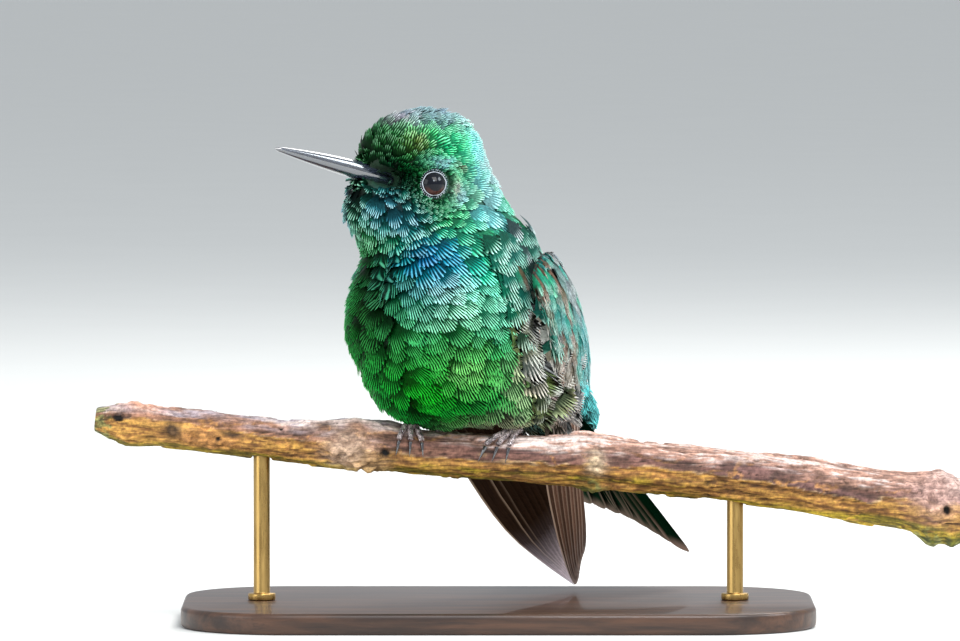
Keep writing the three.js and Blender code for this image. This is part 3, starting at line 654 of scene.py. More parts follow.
def wingSheet(side, along, over):  # middle, across and outward at a place on the folded wing
    lines = wingLines["left" if side > 0 else "right"]
    mirror = np.array([side, 1, 1])

    def place(a, o):
        front, rear = spline(lines["leading"], a) * mirror, spline(lines["trailing"], a) * mirror
        ahead, behind = (spline(lines["leading"], b) + spline(lines["trailing"], b)
                         for b in (np.minimum(a + 0.01, 1), np.maximum(a - 0.01, 0)))
        down = unit((ahead - behind) * mirror)
        out = unit(np.cross(rear - front, down) * -side)
        camber = mix(wingSet["camber"], wingSet["tipCamber"], np.minimum(1, a * 1.25))
        o = o[:, None]
        return front + (rear - front) * o + out * (camber[:, None] * 4 * o * (1 - o))

    along, over = np.broadcast_arrays(np.atleast_1d(along).astype(float), np.atleast_1d(over).astype(float))
    middle = place(along, over)
    down = place(np.minimum(along + 0.02, 1), over) - place(np.maximum(along - 0.02, 0), over)
    across = unit(place(along, over + 0.02) - place(along, over - 0.02))
    return middle, across, unit(np.cross(across, down) * -side), unit(down)


envelopeSet = {"voxel": 0.45, "lowerFrom": 23, "plain": (0, 4, 1.0), "shoulders": (1.6, 42, 0.75)}


def makeEnvelope(grow, smoothing, lower):  # what feathers are wrapped over: the skin and the wings together
    whole = inScene(skin.copy())
    whole.data = skin.data.copy()
    movePoints(whole, pointsOf(whole) + normalsOf(whole) * grow * mm)
    wings = joinedCopies("wingsLaid", wingNodes)
    points = toBird(pointsOf(wings))
    top = envelopeSet["lowerFrom"]
    points[:, 2] = np.where(points[:, 2] > top, top + (points[:, 2] - top) * lower, points[:, 2])
    movePoints(wings, toWorld(points))
    joinAll((whole, wings))
    rebuild(whole, envelopeSet["voxel"], smoothing)
    return surfaceOnly(whole)


def nodeSurface(nodes):  # the solids themselves, to keep feathers clear of
    return surfaceOnly(joinedCopies("nodeSurface", nodes))


skinSurface = surfaceOf(skin)
envelope = makeEnvelope(*envelopeSet["plain"])
shoulders = makeEnvelope(*envelopeSet["shoulders"])
wingSurface = nodeSurface(wingNodes)
branchSurface = nodeSurface(("perch_branch",))
print("envelope:", len(envelope.faces), "faces")


armSet = {"voxel": 0.3, "smoothing": 8, "lastSmoothing": 3, "under": 0.5, "lowUnder": 1.7,
          "colour": paint(92, 84, 78)}


def makeWingArm(name):  # the rounded arm that the coverts hide
    arm = joinedCopies("wingArm" + name.capitalize(), ("wing_coverts_" + name,))
    rebuild(arm, armSet["voxel"], armSet["smoothing"])
    points = toBird(pointsOf(arm))
    spots, normals, _ = shoulders.nearest(points)
    above = ((points - spots) * normals).sum(1)
    above += mix(armSet["lowUnder"], armSet["under"], smooth(points[:, 2], 7, 12))
    movePoints(arm, toWorld(points - normals * np.maximum(above, 0)[:, None]))
    relax(arm, armSet["lastSmoothing"])
    arm.data.shade_smooth()
    setColour(arm, "tint", np.tile(armSet["colour"], (len(arm.data.vertices), 1)))
    return arm


arms = {1: makeWingArm("left"), -1: makeWingArm("right")}


# feathers

coatSet = {"tries": 110000, "spacing": 0.4, "ratio": 1.6, "seed": 7, "evening": 6, "gain": 1.75, "vivid": 1.1,
           "deepest": 2.5, "patch": 0.003, "smallWidth": 2.0, "throatFrom": 26.5, "backFrom": 9}
styles = {  # barbs to a feather, where its rows lie along it, and the shape of its end
    "velvet": {"barbs": 4, "rows": (0.6, 1.0), "notch": 0.22, "ridge": 0.03,
               "round": 0.25, "spread": 1.0, "fan": 0.8, "late": 0.6},
    "face": {"barbs": 5, "rows": (0.55, 1.0), "notch": 0.11, "ridge": 0.04,
             "round": 0.45, "spread": 1.0, "fan": 0.9, "late": 0.45},
    "scallop": {"barbs": 8, "rows": (0.45, 0.75, 1.0), "notch": 0.1, "ridge": 0.08,
                "round": 0.46, "spread": 1.12, "fan": 1.2, "late": 0.45},
    "body": {"barbs": 11, "rows": (0.45, 0.75, 1.0), "notch": 0.14, "ridge": 0.09,
             "round": 0.42, "spread": 1.12, "fan": 1.15, "late": 0.0},
    "mantle": {"barbs": 7, "rows": (0.45, 0.75, 1.0), "notch": 0.24, "ridge": 0.1,
               "round": 0.4, "spread": 1.12, "fan": 1.0, "late": 0.0},
    "fluff": {"barbs": 4, "rows": (0.5, 1.0), "notch": 0.5, "ridge": 0.05,
              "round": 0.3, "spread": 1.3, "fan": 0.8, "late": 0.0},
    "hair": {"barbs": 7, "rows": (0.45, 0.75, 1.0), "notch": 0.4, "ridge": 0.07,
             "round": 0.3, "spread": 1.1, "fan": 0.9, "late": 0.0},
    "plume": {"barbs": 12, "rows": (0.35, 0.6, 1.0), "notch": 0.6, "ridge": 0.08,
              "round": 0.3, "spread": 1.35, "fan": 0.9, "late": 0.0},
}


def featherShape(style):
    values = styles[style]
    columns = 2 * values["barbs"] + 1
    across = np.linspace(-1, 1, columns)
    ridge = (np.arange(columns) % 2).astype(float)
    points = [(0.0, 0.0, 0.0, 0.5)]  # across, along, ridge height, how much of a barb's line
    for row in values["rows"]:
        tip = row == values["rows"][-1]
        width = math.sin(row * math.pi / 2) ** values["fan"] * (values["spread"] if tip else 1.0)
        for place, isRidge in zip(across, ridge):
            along = row * (1 - values["round"] * abs(place) ** 2.3 * row)
            if tip and not isRidge:
                along *= 1 - values["notch"]
            points.append((place * width * 0.5, along, values["ridge"] * (isRidge - 0.5) * row, isRidge))
    faces = [(0, 1 + i + 1, 1 + i) for i in range(columns - 1)]
    for r in range(len(values["rows"]) - 1):
        first = 1 + r * columns
        faces += [(first + i, first + i + 1, first + columns + i + 1, first + columns + i)
                  for i in range(columns - 1)]
    last = 1 + (len(values["rows"]) - 1) * columns
    edge = [0] + [1 + r * columns for r in range(len(values["rows"]) - 1)]
    edge += [last + i for i in range(columns)]
    edge += [columns * (r + 1) for r in reversed(range(len(values["rows"]) - 1))]
    under = len(points)
    points.append((0.0, 0.55, -1.0, 0.0))
    faces = [tuple(reversed(face)) for face in faces]
    faces += [(edge[i], edge[(i + 1) % len(edge)], under) for i in range(len(edge))]
    return np.array(points), faces


def scatter(surface, spacingAt, keepAt, flowAt, tries, seed):
    rng = np.random.default_rng(seed)
    fourSided = [i for i, face in enumerate(surface.faces) if len(face) > 3]
    triangles = [face[:3] for face in surface.faces]
    triangles = np.array(triangles + [np.take(surface.faces[i], (0, 2, 3)) for i in fourSided])
    owner = np.array(list(range(len(surface.faces))) + fourSided)
    a, b, c = (surface.points[triangles[:, i]] for i in range(3))
    area = np.linalg.norm(np.cross(b - a, c - a), axis=1)
    chosen = rng.choice(len(triangles), tries, p=area / area.sum())
    u, v = rng.random(tries), rng.random(tries)
    over = u + v > 1
    u[over], v[over] = 1 - u[over], 1 - v[over]
    points = a[chosen] + (b - a)[chosen] * u[:, None] + (c - a)[chosen] * v[:, None]
    normals = surface.faceNormals[owner[chosen]]
    keep = keepAt(points, normals)
    points, normals, faces = points[keep], normals[keep], owner[chosen][keep]
    spacing = spacingAt(points)
    flow = flowAt(points, normals)
    taken = np.zeros((len(points), 3))
    picked = []
    for i, point in enumerate(points):
        if picked:
            offset = taken[:len(picked)] - point
            along = offset @ flow[i]
            distance = (offset ** 2).sum(1) + 0.35 * along ** 2
            if distance.min() < spacing[i] ** 2:
                continue
        taken[len(picked)] = point
        picked.append(i)
    return points[picked], faces[picked]


def evenOut(roots, faces, surface, spacingAt, rounds):  # neighbours push each other apart, along the surface
    for _ in range(rounds):
        finder = KDTree(len(roots))
        for i, root in enumerate(roots):
            finder.insert(Vector(root), i)
        finder.balance()
        reach = spacingAt(roots) * 1.35
        moved = roots.copy()
        for i, root in enumerate(roots):
            push = np.zeros(3)
            for place, other, distance in finder.find_range(Vector(root), reach[i]):
                if other != i:
                    push += (root - np.array(place)) / max(distance, 0.05) * (1 - distance / reach[i])
            moved[i] += push * reach[i] * 0.16
        roots, normals, faces = surface.nearest(moved)
    return roots, normals, faces


def plumageFlow(points, normals):  # away from the bill on the head, then towards the tail
    heads = unit(points - billAt)
    trunk = np.tile(unit(np.array([0.0, 0.60, -0.80])), (len(points), 1))
    trunk[:, 0] += 0.012 * points[:, 0]
    share = smooth(points[:, 2], 24, 34)[:, None]
    flow = unit(mix(trunk, heads, share))
    for side in (1, -1):  # backwards over the front edge of each wing
        edge = np.interp(points[:, 2], (-8, 3.4, 15.5, 28.2), (16, 10.4, 4.4, 0.8))
        beside = (1 - smooth(edge - points[:, 1], 0.5, 5.5)) * (points[:, 1] < edge + 3) * (side * points[:, 0] > 7)
        lap = unit(np.array([side * 0.25, 0.9, -0.4]))
        flow = mix(flow, lap, (beside * 0.75 * (1 - smooth(points[:, 2], 26, 30)))[:, None])
    off = creaseShare(points)[1]
    flow[:, 0] += np.sign(off) * 0.25 * np.exp(-(off / 4) ** 2) * (points[:, 1] < 0) * (points[:, 2] < 27)
    sway = np.array([noise.noise(Vector(p * 0.16)) for p in points])
    flow = flow - (flow * normals).sum(1, keepdims=True) * normals
    return unit(flow + np.cross(normals, unit(flow)) * sway[:, None] * 0.35)


def keepOut(points, surface, clear):  # pushes points that have sunk into a solid back out of it
    moved = points.copy()
    low, high = surface.points.min(0) - clear, surface.points.max(0) + clear
    inside = np.all((points > low) & (points < high), axis=1)
    for i in np.nonzero(inside)[0]:
        place, normal = surface.tree.find_nearest(Vector(points[i]), coatSet["deepest"])[:2]
        if place is not None and -coatSet["deepest"] < (Vector(points[i]) - place).dot(normal) < clear:
            moved[i] = place + normal * clear
    return moved


def layFeathers(name, style, roots, normals, flow, size, surface, options):
    rng = np.random.default_rng(options["seed"])
    shape, faces = featherShape(style)
    count, many = len(roots), len(shape)
    width, length, lift = size
    swing = rng.normal(0, options["swing"], count)
    flow = unit(flow + np.cross(normals, flow) * swing[:, None])
    ahead = surface.nearest(roots + flow * length[:, None])[1]
    length = length * mix(0.45, 1.0, smooth((ahead * normals).sum(1), 0.0, 0.6))
    sideways = np.cross(normals, flow)
    width = width * rng.uniform(0.88, 1.12, count)
    length = length * rng.uniform(0.88, 1.14, count)
    roll = rng.normal(0, options["roll"], count)
    raised = lift * rng.uniform(0.9, 1.35, count)
    ends = 1 + rng.uniform(-0.05, 0.03, (count, many)) * (shape[:, 1] > 0.6)
    across = shape[None, :, 0] * width[:, None]
    along = shape[None, :, 1] * length[:, None] * ends
    flat = roots[:, None] + sideways[:, None] * across[..., None] + flow[:, None] * along[..., None]
    spots, outward, _ = surface.nearest(flat.reshape(-1, 3))
    spots, outward = spots.reshape(count, many, 3), outward.reshape(count, many, 3)
    isUnder = shape[:, 2] == -1
    rise = raised[:, None] * (0.04 + 0.96 * np.minimum(shape[:, 1], 1.0)[None] ** options["slope"])
    rise += roll[:, None] * across - options["cup"] * (2 * shape[None, :, 0]) ** 2 * width[:, None]
    rise += np.where(isUnder, -options["thick"], shape[:, 2])[None] * np.clip(width / 3, 0.4, 1.2)[:, None]
    rise[:, 0] = -0.12
    points = spots + outward * rise[..., None]
    points = points.reshape(-1, 3)
    for solid, clear in options.get("clearOf", ()):
        points = keepOut(points, solid, clear)
    for side in (1, -1):
        _, high, out, wide = eyeOffsets(points, side)
        over = (high > -0.5) & (high < 3) & (wide < eyeSet["clear"])
        points[over] += (out / np.maximum(wide, 0.05)[:, None] * (eyeSet["clear"] - wide)[:, None])[over]
    rows = len(styles[style]["rows"])
    columns = 2 * styles[style]["barbs"] + 1
    seen = spots[:, 1 + (rows - 2) * columns + columns // 2]  # the part that shows takes the marks of its own place
    colour, pale, barbGlint, soft = options["markings"](seen)
    lively = rng.normal(1, 0.13, (count, 1))
    hue = rng.normal(0, 0.05, (count, 3))
    colour = colour.mean(1, keepdims=True) + (colour - colour.mean(1, keepdims=True)) * coatSet["vivid"]
    colour = np.clip(colour * coatSet["gain"] * np.maximum(lively, 0.5) * (1 + hue), 0.002, 0.95)
    barbGlint = np.clip(barbGlint * rng.uniform(0.7, 1.3, count), 0, 1)
    made = bpy.data.meshes.new(name)
    made.vertices.add(count * many)
    made.vertices.foreach_set("co", np.asarray(toWorld(points), np.float32).ravel())
    corners = np.concatenate([np.array(face) for face in faces])
    sizes = np.array([len(face) for face in faces])
    allCorners = (corners[None] + np.arange(count)[:, None] * many).ravel()
    allSizes = np.tile(sizes, count)
    made.loops.add(len(allCorners))
    made.loops.foreach_set("vertex_index", allCorners.astype(np.int32))
    made.polygons.add(len(allSizes))
    made.polygons.foreach_set("loop_start", (np.cumsum(allSizes) - allSizes).astype(np.int32))
    made.update(calc_edges=True)
    made.validate()
    piece = inScene(bpy.data.objects.new(name, made))
    for key, values in (("tint", colour), ("pale", pale)):
        setColour(piece, key, np.repeat(values, many, 0))
    for key, values in (("barbGlint", barbGlint), ("soft", soft)):
        setNumber(piece, key, np.repeat(values, many))
    late = np.full(many, styles[style]["late"])
    for key, values in (("barb", shape[:, 3]), ("along", shape[:, 1]), ("late", late)):
        setNumber(piece, key, np.tile(values, count))
    patch = options["unwrap"][:, None] + np.stack([shape[:, 0], shape[:, 1] - 0.5], 1)[None] * coatSet["patch"]
    bake = made.uv_layers.new(name="OFBake")
    bake.data.foreach_set("uv", patch.reshape(-1, 2)[allCorners].astype(np.float32).ravel())
    dress(piece, options["material"], options["slot"])
    triangles = int((allSizes - 2).sum())
    print(name + ":", count, "feathers,", triangles, "triangles")


def unwrapPlaces(faceIndex):  # the place of each root on the skin's own unwrap
    layer = skin.data.uv_layers["skinUnwrap"].data
    starts = [skin.data.polygons[int(i)].loop_start for i in faceIndex]
    return np.array([np.mean([layer[start + k].uv[:] for k in range(3)], 0) for start in starts])


def hiddenByWing(points, normals):
    hidden = np.zeros(len(points), bool)
    low, high = wingSurface.points.min(0) - 4, wingSurface.points.max(0) + 4
    for i in np.nonzero(np.all((points > low) & (points < high), axis=1))[0]:
        hit = wingSurface.tree.ray_cast(Vector(points[i]), Vector(normals[i]), 5.0)[0]
        hidden[i] = hit is not None
    return hidden


def eyeDistance(points):
    return np.minimum(*[np.linalg.norm(points - eyePlace(side)[0], axis=1) for side in (1, -1)])


def openSkin(points, normals):  # leaves the eyes, the bill's sides and what the wings cover bare
    local = (points - billAt) @ billTurn
    beside = (np.abs(local[:, 0]) < 2.0) & (np.abs(local[:, 2] + 0.1) < 1.5) & (local[:, 1] < 0.1)
    eyes = np.zeros(len(points), bool)
    for side in (1, -1):
        _, high, _, wide = eyeOffsets(points, side)
        eyes |= (wide < eyeSet["clear"] + 0.05) & (high > -2)
    return ~(beside | eyes | hiddenByWing(points, normals))


def featherWidth(points):
    fromBill = np.linalg.norm(points - billAt, axis=1)
    heads = toHead(points)
    crown = 1.05 + 0.13 * np.minimum(fromBill, 7) + 0.04 * np.maximum(fromBill - 7, 0)
    beyond = np.maximum(0, fromBill - 2.5)
    throat = 1.55 + 0.25 * beyond
    onHead = mix(throat, crown, smooth(heads[:, 2], -4.5, -0.5))
    onHead = np.minimum(onHead, mix(0.7, 6.0, smooth(eyeDistance(points), 2.6, 11)))
    trunk = mix(3.9, 3.5, smooth(points[:, 2], 12, 26))
    return mix(trunk, onHead, smooth(points[:, 2], 25, 31))


def plumeShare(points):
    return np.maximum(near(points, (14.2, 5.0, 7.5), (3.8, 4.8, 6.5), True),
                      near(points, (8.0, 4.0, 0.8), (6.0, 7.0, 2.2), True))


def makeCoat():
    def spacingAt(points):
        return featherWidth(points) * coatSet["spacing"]

    roots, faces = scatter(skinSurface, spacingAt, openSkin, plumageFlow, coatSet["tries"], coatSet["seed"])
    roots, normals, faces = evenOut(roots, faces, skinSurface, spacingAt, coatSet["evening"])
    flow = plumageFlow(roots, normals)
    keep = openSkin(roots, normals)
    roots, normals, flow, faces = (values[keep] for values in (roots, normals, flow, faces))
    width = featherWidth(roots)
    heads = toHead(roots)
    lift = coatDepth(roots) + 0.8 * near(heads, (0.5, -2.5, 7.2), (5, 7, 2.6), True)
    lift += 0.45 * near(heads, (0, -10, -5.5), (8, 4.5, 7), True)
    plume = plumeShare(roots) > 0.42
    lore = near(heads, (5.4, -7.4, -1.2), (3.0, 3.2, 1.8), True) > 0.5
    fluff = np.maximum(near(heads, (1.0, -5.4, 7.4), (4.4, 3.0, 1.7), True),
                       near(heads, (0.6, 0.5, 7.8), (4.4, 6.0, 1.5), True)) > 0.5
    tail = (roots[:, 1] > 16) & (roots[:, 2] < 12)
    small = width < coatSet["smallWidth"]
    large = ~small & ~lore & ~plume
    high = roots[:, 2] > coatSet["throatFrom"]
    behind = roots[:, 1] >= coatSet["backFrom"]
    kinds = {
        "coatLores": ("velvet", lore & ~plume, "head_plumage"),
        "coatCrown": ("fluff", fluff, "head_plumage"),
        "coatFace": ("face", small & ~lore & ~plume & ~fluff, "head_plumage"),
        "coatThroat": ("scallop", large & high, "throat_plumage"),
        "coatPlumes": ("plume", plume, "belly_plumage"),
        "coatBreast": ("body", large & ~high & ~behind, "belly_plumage"),
        "coatBack": ("body", large & ~high & behind, "back_plumage"),
    }
    unwrap = unwrapPlaces(faces)
    for k, (name, (style, chosen, slot)) in enumerate(kinds.items()):
        if not chosen.any():
            continue
        long = width * np.where(plume, 2.1, np.where(tail | fluff, 2.0, coatSet["ratio"]))
        options = {
            "seed": 20 + k, "swing": 0.16 if style == "plume" else 0.1, "roll": 0.05, "slope": 0.85,
            "cup": 0.05, "thick": 0.22, "material": plumage, "slot": slot, "markings": markings,
            "unwrap": unwrap[chosen], "clearOf": ((branchSurface, 0.1),),
        }
        layFeathers(name, style, roots[chosen], normals[chosen], flow[chosen],
                    (width[chosen], long[chosen], lift[chosen]), envelope, options)
    print("roots:", len(roots))


makeCoat()


# flight feathers: one closed vane each, a raised shaft between two curved webs

quillSet = {"thick": 0.12, "shaft": 0.15, "shaftWidth": 0.16, "stations": 24, "tipStations": 9}
quillRing = 10  # points round one cross-section of a quill


def quillShares(tip):  # places along a feather, closer together in its round tip
    body = quillSet["stations"] - quillSet["tipStations"]
    turned = np.linspace(0, math.pi / 2, quillSet["tipStations"] + 1)[1:]
    return np.concatenate([np.linspace(0, 1 - tip, body), 1 - tip + tip * np.sin(turned)])


def quill(middles, sides, normals, lead, trail, tip, rng):
    stations = len(middles)
    share = quillShares(tip)
    shut = np.sqrt(np.clip(1 - (np.maximum(0, share - 1 + tip) / tip) ** 2, 0.004, 1))
    shaft = quillSet["shaft"] * (1 - 0.75 * share)
    half = quillSet["shaftWidth"] * 0.5 * (1 - 0.7 * share)
    points, across = [], []
    for i in range(stations):
        split = 1 - (0.12 * rng.random() if rng.random() < 0.12 and i < stations - 2 else 0)
        left, right = lead[i] * shut[i], trail[i] * shut[i] * split
        thick = quillSet["thick"] * (1 - 0.5 * share[i])
        section = ((-left, -0.1 * left, -1), (-0.55 * left, 0.02, -0.55), (-half[i], 0.03, -0.05),
                   (0, shaft[i], 0), (half[i], 0.03, 0.05), (0.5 * right, 0.02, 0.5), (right, -0.12 * right, 1),
                   (0.5 * right, 0.02 - thick, 0.5), (0, -thick - 0.5 * shaft[i], 0),
                   (-0.55 * left, 0.02 - thick, -0.55))
        for wide, high, place in section:
            points.append(middles[i] + sides[i] * wide + normals[i] * high)
            across.append(place)
    faces = []
    for first in range(0, (stations - 1) * quillRing, quillRing):
        for j in range(quillRing):
            a, b = first + j, first + (j + 1) % quillRing
            faces.append((a, b, b + quillRing, a + quillRing))
    faces.append(tuple(reversed(range(quillRing))))
    faces.append(tuple((stations - 1) * quillRing + j for j in range(quillRing)))
    return points, faces, across, list(np.repeat(share, quillRing))


def gatherQuills(name, quills, colours, material, slot, *replaced):
    points, faces, across, along, tint, rim, corners = ([] for _ in range(7))
    for k, (made, colour) in enumerate(zip(quills, colours)):
        first = len(points)
        points += made[0]
        faces += [tuple(first + v for v in face) for face in made[1]]
        across += made[2]
        along += made[3]
        tint.append(np.repeat(colour[0], quillRing, 0))
        rim.append(np.repeat(colour[1], quillRing, 0))
        corners += [(k + 0.5 + 0.45 * x) / len(quills) for x in made[2]]
    piece = meshPiece(name, toWorld(np.array(points)), faces)
    turnOut(piece)
    smoothByAngle(40)
    setColour(piece, "tint", np.concatenate(tint))
    setColour(piece, "pale", np.concatenate(rim))
    setNumber(piece, "across", across)
    setNumber(piece, "along", along)
    bake = piece.data.uv_layers.new(name="OFBake")
    places = np.stack([np.array(corners), 0.02 + 0.96 * np.array(along)], 1)
    order = np.array([loop.vertex_index for loop in piece.data.loops])
    bake.data.foreach_set("uv", places[order].astype(np.float32).ravel())
    dress(piece, material, slot, *replaced)
    print(name + ":", len(quills), "quills")


def quillMaterial(name, gloss):
    tree = Tree(name, Roughness=gloss["rough"], Specular_IOR_Level=gloss["shine"])
    across = tree.attribute("across")
    along = tree.attribute("along")
    away = tree.add("Math", {0: across}, operation="ABSOLUTE").outputs[0]
    slant = tree.sum(tree.sum(along, 60.0, "MULTIPLY"), tree.sum(away, gloss["slant"], "MULTIPLY"), "SUBTRACT")
    lines = tree.add("CombineXYZ", {"X": slant, "Y": tree.sum(across, 2.0, "MULTIPLY"), "Z": 0.0}).outputs[0]
    streak = tree.noise(lines, 2.2, 4, 0.7)
    long = tree.add("CombineXYZ", {"X": tree.sum(across, 6.0, "MULTIPLY"), "Y": tree.sum(along, 3.0, "MULTIPLY"),
                                   "Z": 0.0}).outputs[0]
    band = tree.noise(long, 1.4, 2, 0.5)
    ahead = tree.span(tree.sum(across, -1.0, "MULTIPLY"), gloss["lead"], gloss["lead"] + 0.2)
    rim = tree.sum(tree.span(away, gloss["rim"], 1.0), tree.span(along, gloss["end"], 1.0), "MAXIMUM")
    rim = tree.sum(rim, ahead, "MAXIMUM")
    tint = tree.attribute("tint", "Color")
    pale = tree.attribute("pale", "Color")
    shade = tree.mix(tree.span(band, 0.3, 0.7), (0.62, 0.62, 0.62), (1.15, 1.15, 1.15))
    body = tree.mix(1.0, tint, shade, "MULTIPLY")
    barbs = tree.mix(tree.span(streak, 0.3, 0.7), (0.7, 0.7, 0.7), (1.25, 1.25, 1.25))
    body = tree.mix(1.0, body, barbs, "MULTIPLY")
    shaftLine = tree.span(away, 0.02, 0.1, 1.0, 0.0)
    body = tree.mix(tree.sum(shaftLine, 0.5, "MULTIPLY"), body, gloss["shaft"])
    tree.feed("Base Color", tree.mix(tree.sum(rim, 0.85, "MULTIPLY"), body, pale))
    tree.bump(streak, 0.35, 0.06)
    return tree.material


wingLooks = {  # by side: vane and edge colours at the shoulder, half way down and at the tip
    1: ((paint(186, 150, 132), paint(118, 88, 72), paint(120, 96, 84)),
        (paint(226, 200, 184), paint(206, 178, 156), paint(226, 206, 196))),
    # the far wing's lilac-white tip is painted sheen over its brown
    -1: ((paint(84, 60, 48), paint(54, 35, 23), paint(236, 218, 226)),
         (paint(206, 176, 156), paint(206, 176, 150), paint(240, 228, 236))),
}


vaneShades = (0.62, 1.15, 0.58, 0.9)  # the near wing's feathers are unlike, one after another
rimShares = {1: (1.0, 0.5, 0.3), -1: (1.0, 0.3, 0.02)}  # how much edge colour the outermost feathers show


def alongColours(three, share):
    first, middle, last = three
    share = share[:, None]
    return mix(mix(first, middle, smooth(share, 0.32, 0.55)), last, smooth(share, 0.74, 0.97))


def quillColours(looks, rng, variety=0.2):
    share = quillShares(wingSet["tip"])
    return (alongColours(looks[0], share) * rng.uniform(1 - variety, 1 + variety),
            alongColours(looks[1], share) * rng.uniform(0.9, 1.15))


def wingQuills(side):
    rng = np.random.default_rng(60 + side)
    quills, colours = [], []
    stations = quillSet["stations"]
    for k in range(wingSet["primaries"]):
        inner = k / (wingSet["primaries"] - 1)
        end = mix(wingSet["outer"], wingSet["inner"], inner ** 1.3)
        along = mix(wingSet["start"], end, quillShares(wingSet["tip"]))
        over = np.full(stations, 0.06 + 0.86 * inner)
        middle, across, out, _ = wingSheet(side, along, over)
        front, rear = (wingSheet(side, along, np.full(stations, edge))[0] for edge in (0.0, 1.0))
        width = np.clip(np.linalg.norm(rear - front, axis=1) / wingSet["primaries"], 0.8, 2.2)
        swell = 0.8 + 0.3 * np.sin(np.pi * quillShares(wingSet["tip"]) ** 1.4)
        lead = width * (0.62 if k else 0.75) * swell
        trail = width * mix(1.8, 1.0, inner ** 3) * swell
        high = -0.24 + 0.055 * k
        quills.append(quill(middle + out * high, across, out, lead, trail, wingSet["tip"], rng))
        vane, edge = quillColours(wingLooks[side], rng, 0.12)
        if side > 0:
            vane = vane * vaneShades[k % len(vaneShades)]
        colours.append((vane, mix(vane * 1.1, edge, rimShares[side][min(k, 2)])))
    for k in range(wingSet["secondaries"]):
        inner = k / (wingSet["secondaries"] - 1)
        end = mix(0.58, 0.46, inner)
        share = quillShares(wingSet["tip"])
        along = mix(wingSet["start"], end, share)
        over = mix(0.3 + 0.6 * inner, 0.42 + 0.52 * inner, share)
        middle, across, out, _ = wingSheet(side, along, over)
        swell = 0.7 + 0.4 * np.sin(np.pi * share ** 1.2)
        quills.append(quill(middle + out * (0.28 + 0.045 * k), across, out, 1.0 * swell, 1.7 * swell,
                            wingSet["tip"], rng))
        colours.append(quillColours(wingLooks[side], rng))
    return quills, colours


covertSet = {"rows": 10, "columns": 14, "from": 0.02, "to": 0.225, "width": 1.7, "short": 5.5, "long": 9.0,
             "lift": 0.5}
capeSet = {"rows": 11, "from": -0.055, "to": 0.36, "ahead": 4.8, "behind": (13.0, 2.4), "step": 1.8,
           "width": 3.8, "short": 4.2, "long": 8.5, "lift": (0.3, 0.6), "lean": (1.0, 0.22)}
plumeSet = {"rows": 10, "from": 0.14, "to": 0.37, "ahead": 5.8, "behind": (2.2, 3.0), "step": 1.1,
            "width": 3.6, "short": 6.5, "long": 8.5, "lift": (0.4, 0.6), "lean": (0.62, 0.78)}
downSet = {"rows": 10, "from": 0.12, "to": 0.37, "ahead": 6.2, "behind": (2.0, 2.6), "step": 1.5,
           "width": 3.6, "short": 5.5, "long": 7.0, "lift": (-0.1, 0.1), "lean": (0.8, 0.6)}
wingLength = 63  # mm from the wrist to the tip, along the front edge


def finish(colour, rng):  # a little variety, and the pale lines' colour, a painted highlight on the barbs
    colour = colour * rng.uniform(0.8, 1.2, (len(colour), 1))
    return colour, mix(brightest(colour), np.array([0.88, 0.96, 0.94]), 0.6) * 0.9


def wingMarks(side, along, over):  # turquoise with rufous slots, a grey top edge and brown lower rows
    def colours(roots):
        rng = np.random.default_rng(90 + side)
        spots = np.stack([over, along, np.full(len(over), side)], 1)
        streak = softNoise(spots, (11, 9, 3))[:, None]
        colour = np.tile(paint(96, 204, 188), (len(roots), 1))
        colour = mix(colour, paint(56, 170, 110), smooth(streak, 0.05, 0.3) * 0.6)
        lilac = smooth(over, 0.25, 0.5) * (1 - smooth(along, 0.1, 0.17)) * (rng.random(len(over)) > 0.3)
        colour = mix(colour, paint(188, 182, 190), lilac[:, None] * 0.8)
        ahead = smooth(over, 0.02, 0.08) * (1 - smooth(over, 0.32, 0.42))
        rufous = smooth(-streak, -0.02, 0.12) * ahead[:, None]
        colour = mix(colour, paint(158, 108, 86), rufous * 0.9)
        lower = smooth(along, 0.15, 0.2)[:, None] * (1 - smooth(over, 0.3, 0.42))[:, None]
        colour = mix(colour, paint(190, 158, 140), lower * 0.85)
        rear = smooth(along, 0.1, 0.17) * smooth(over, 0.4, 0.5)
        colour = mix(colour, paint(96, 214, 212), rear[:, None] * 0.9)
        colour, pale = finish(colour, rng)
        return colour * 0.85, pale, np.full(len(roots), 0.8), np.full(len(roots), 0.3)
    return colours


def capeMarks(side, along, back):  # the body's own colours, with rufous slots and painted shade in dark slots between the feathers by the wing's edge
    def colours(roots):
        rng = np.random.default_rng(96 + side)
        colour = markings(roots)[0]
        beside = smooth(back, -4.0, -2.0)[:, None]
        high = (1 - smooth(along, 0.2, 0.3))[:, None]
        colour = mix(colour, paint(92, 206, 178), beside * high * 0.75)
        patchy = rng.random((len(roots), 1))
        colour = mix(colour, paint(160, 164, 176), smooth(back, 1.5, 4.5)[:, None] * (patchy > 0.6) * 0.7)
        # painted shade: near-black slots between the feathers at the wing's edge
        dark = np.exp(-((back + 1.9) / 0.7) ** 2) * smooth(along, 0.0, 0.02) * (1 - smooth(along, 0.13, 0.18))
        colour = mix(colour, paint(20, 22, 18), dark[:, None] * (patchy > 0.6))
        rufous = np.exp(-((back + 0.2) / 0.9) ** 2) * smooth(along, 0.03, 0.06) * (1 - smooth(along, 0.22, 0.27))
        colour = mix(colour, paint(150, 98, 76), rufous[:, None] * (patchy > 0.5) * 0.9)
        low = smooth(along, 0.26, 0.34)[:, None] * smooth(back, -4.4, -2.4)[:, None]
        colour = mix(colour, paint(176, 156, 136), low * 0.8)
        colour, pale = finish(colour, rng)
        return colour * 0.9, pale, np.full(len(roots), 1.0), np.full(len(roots), 0.0)
    return colours


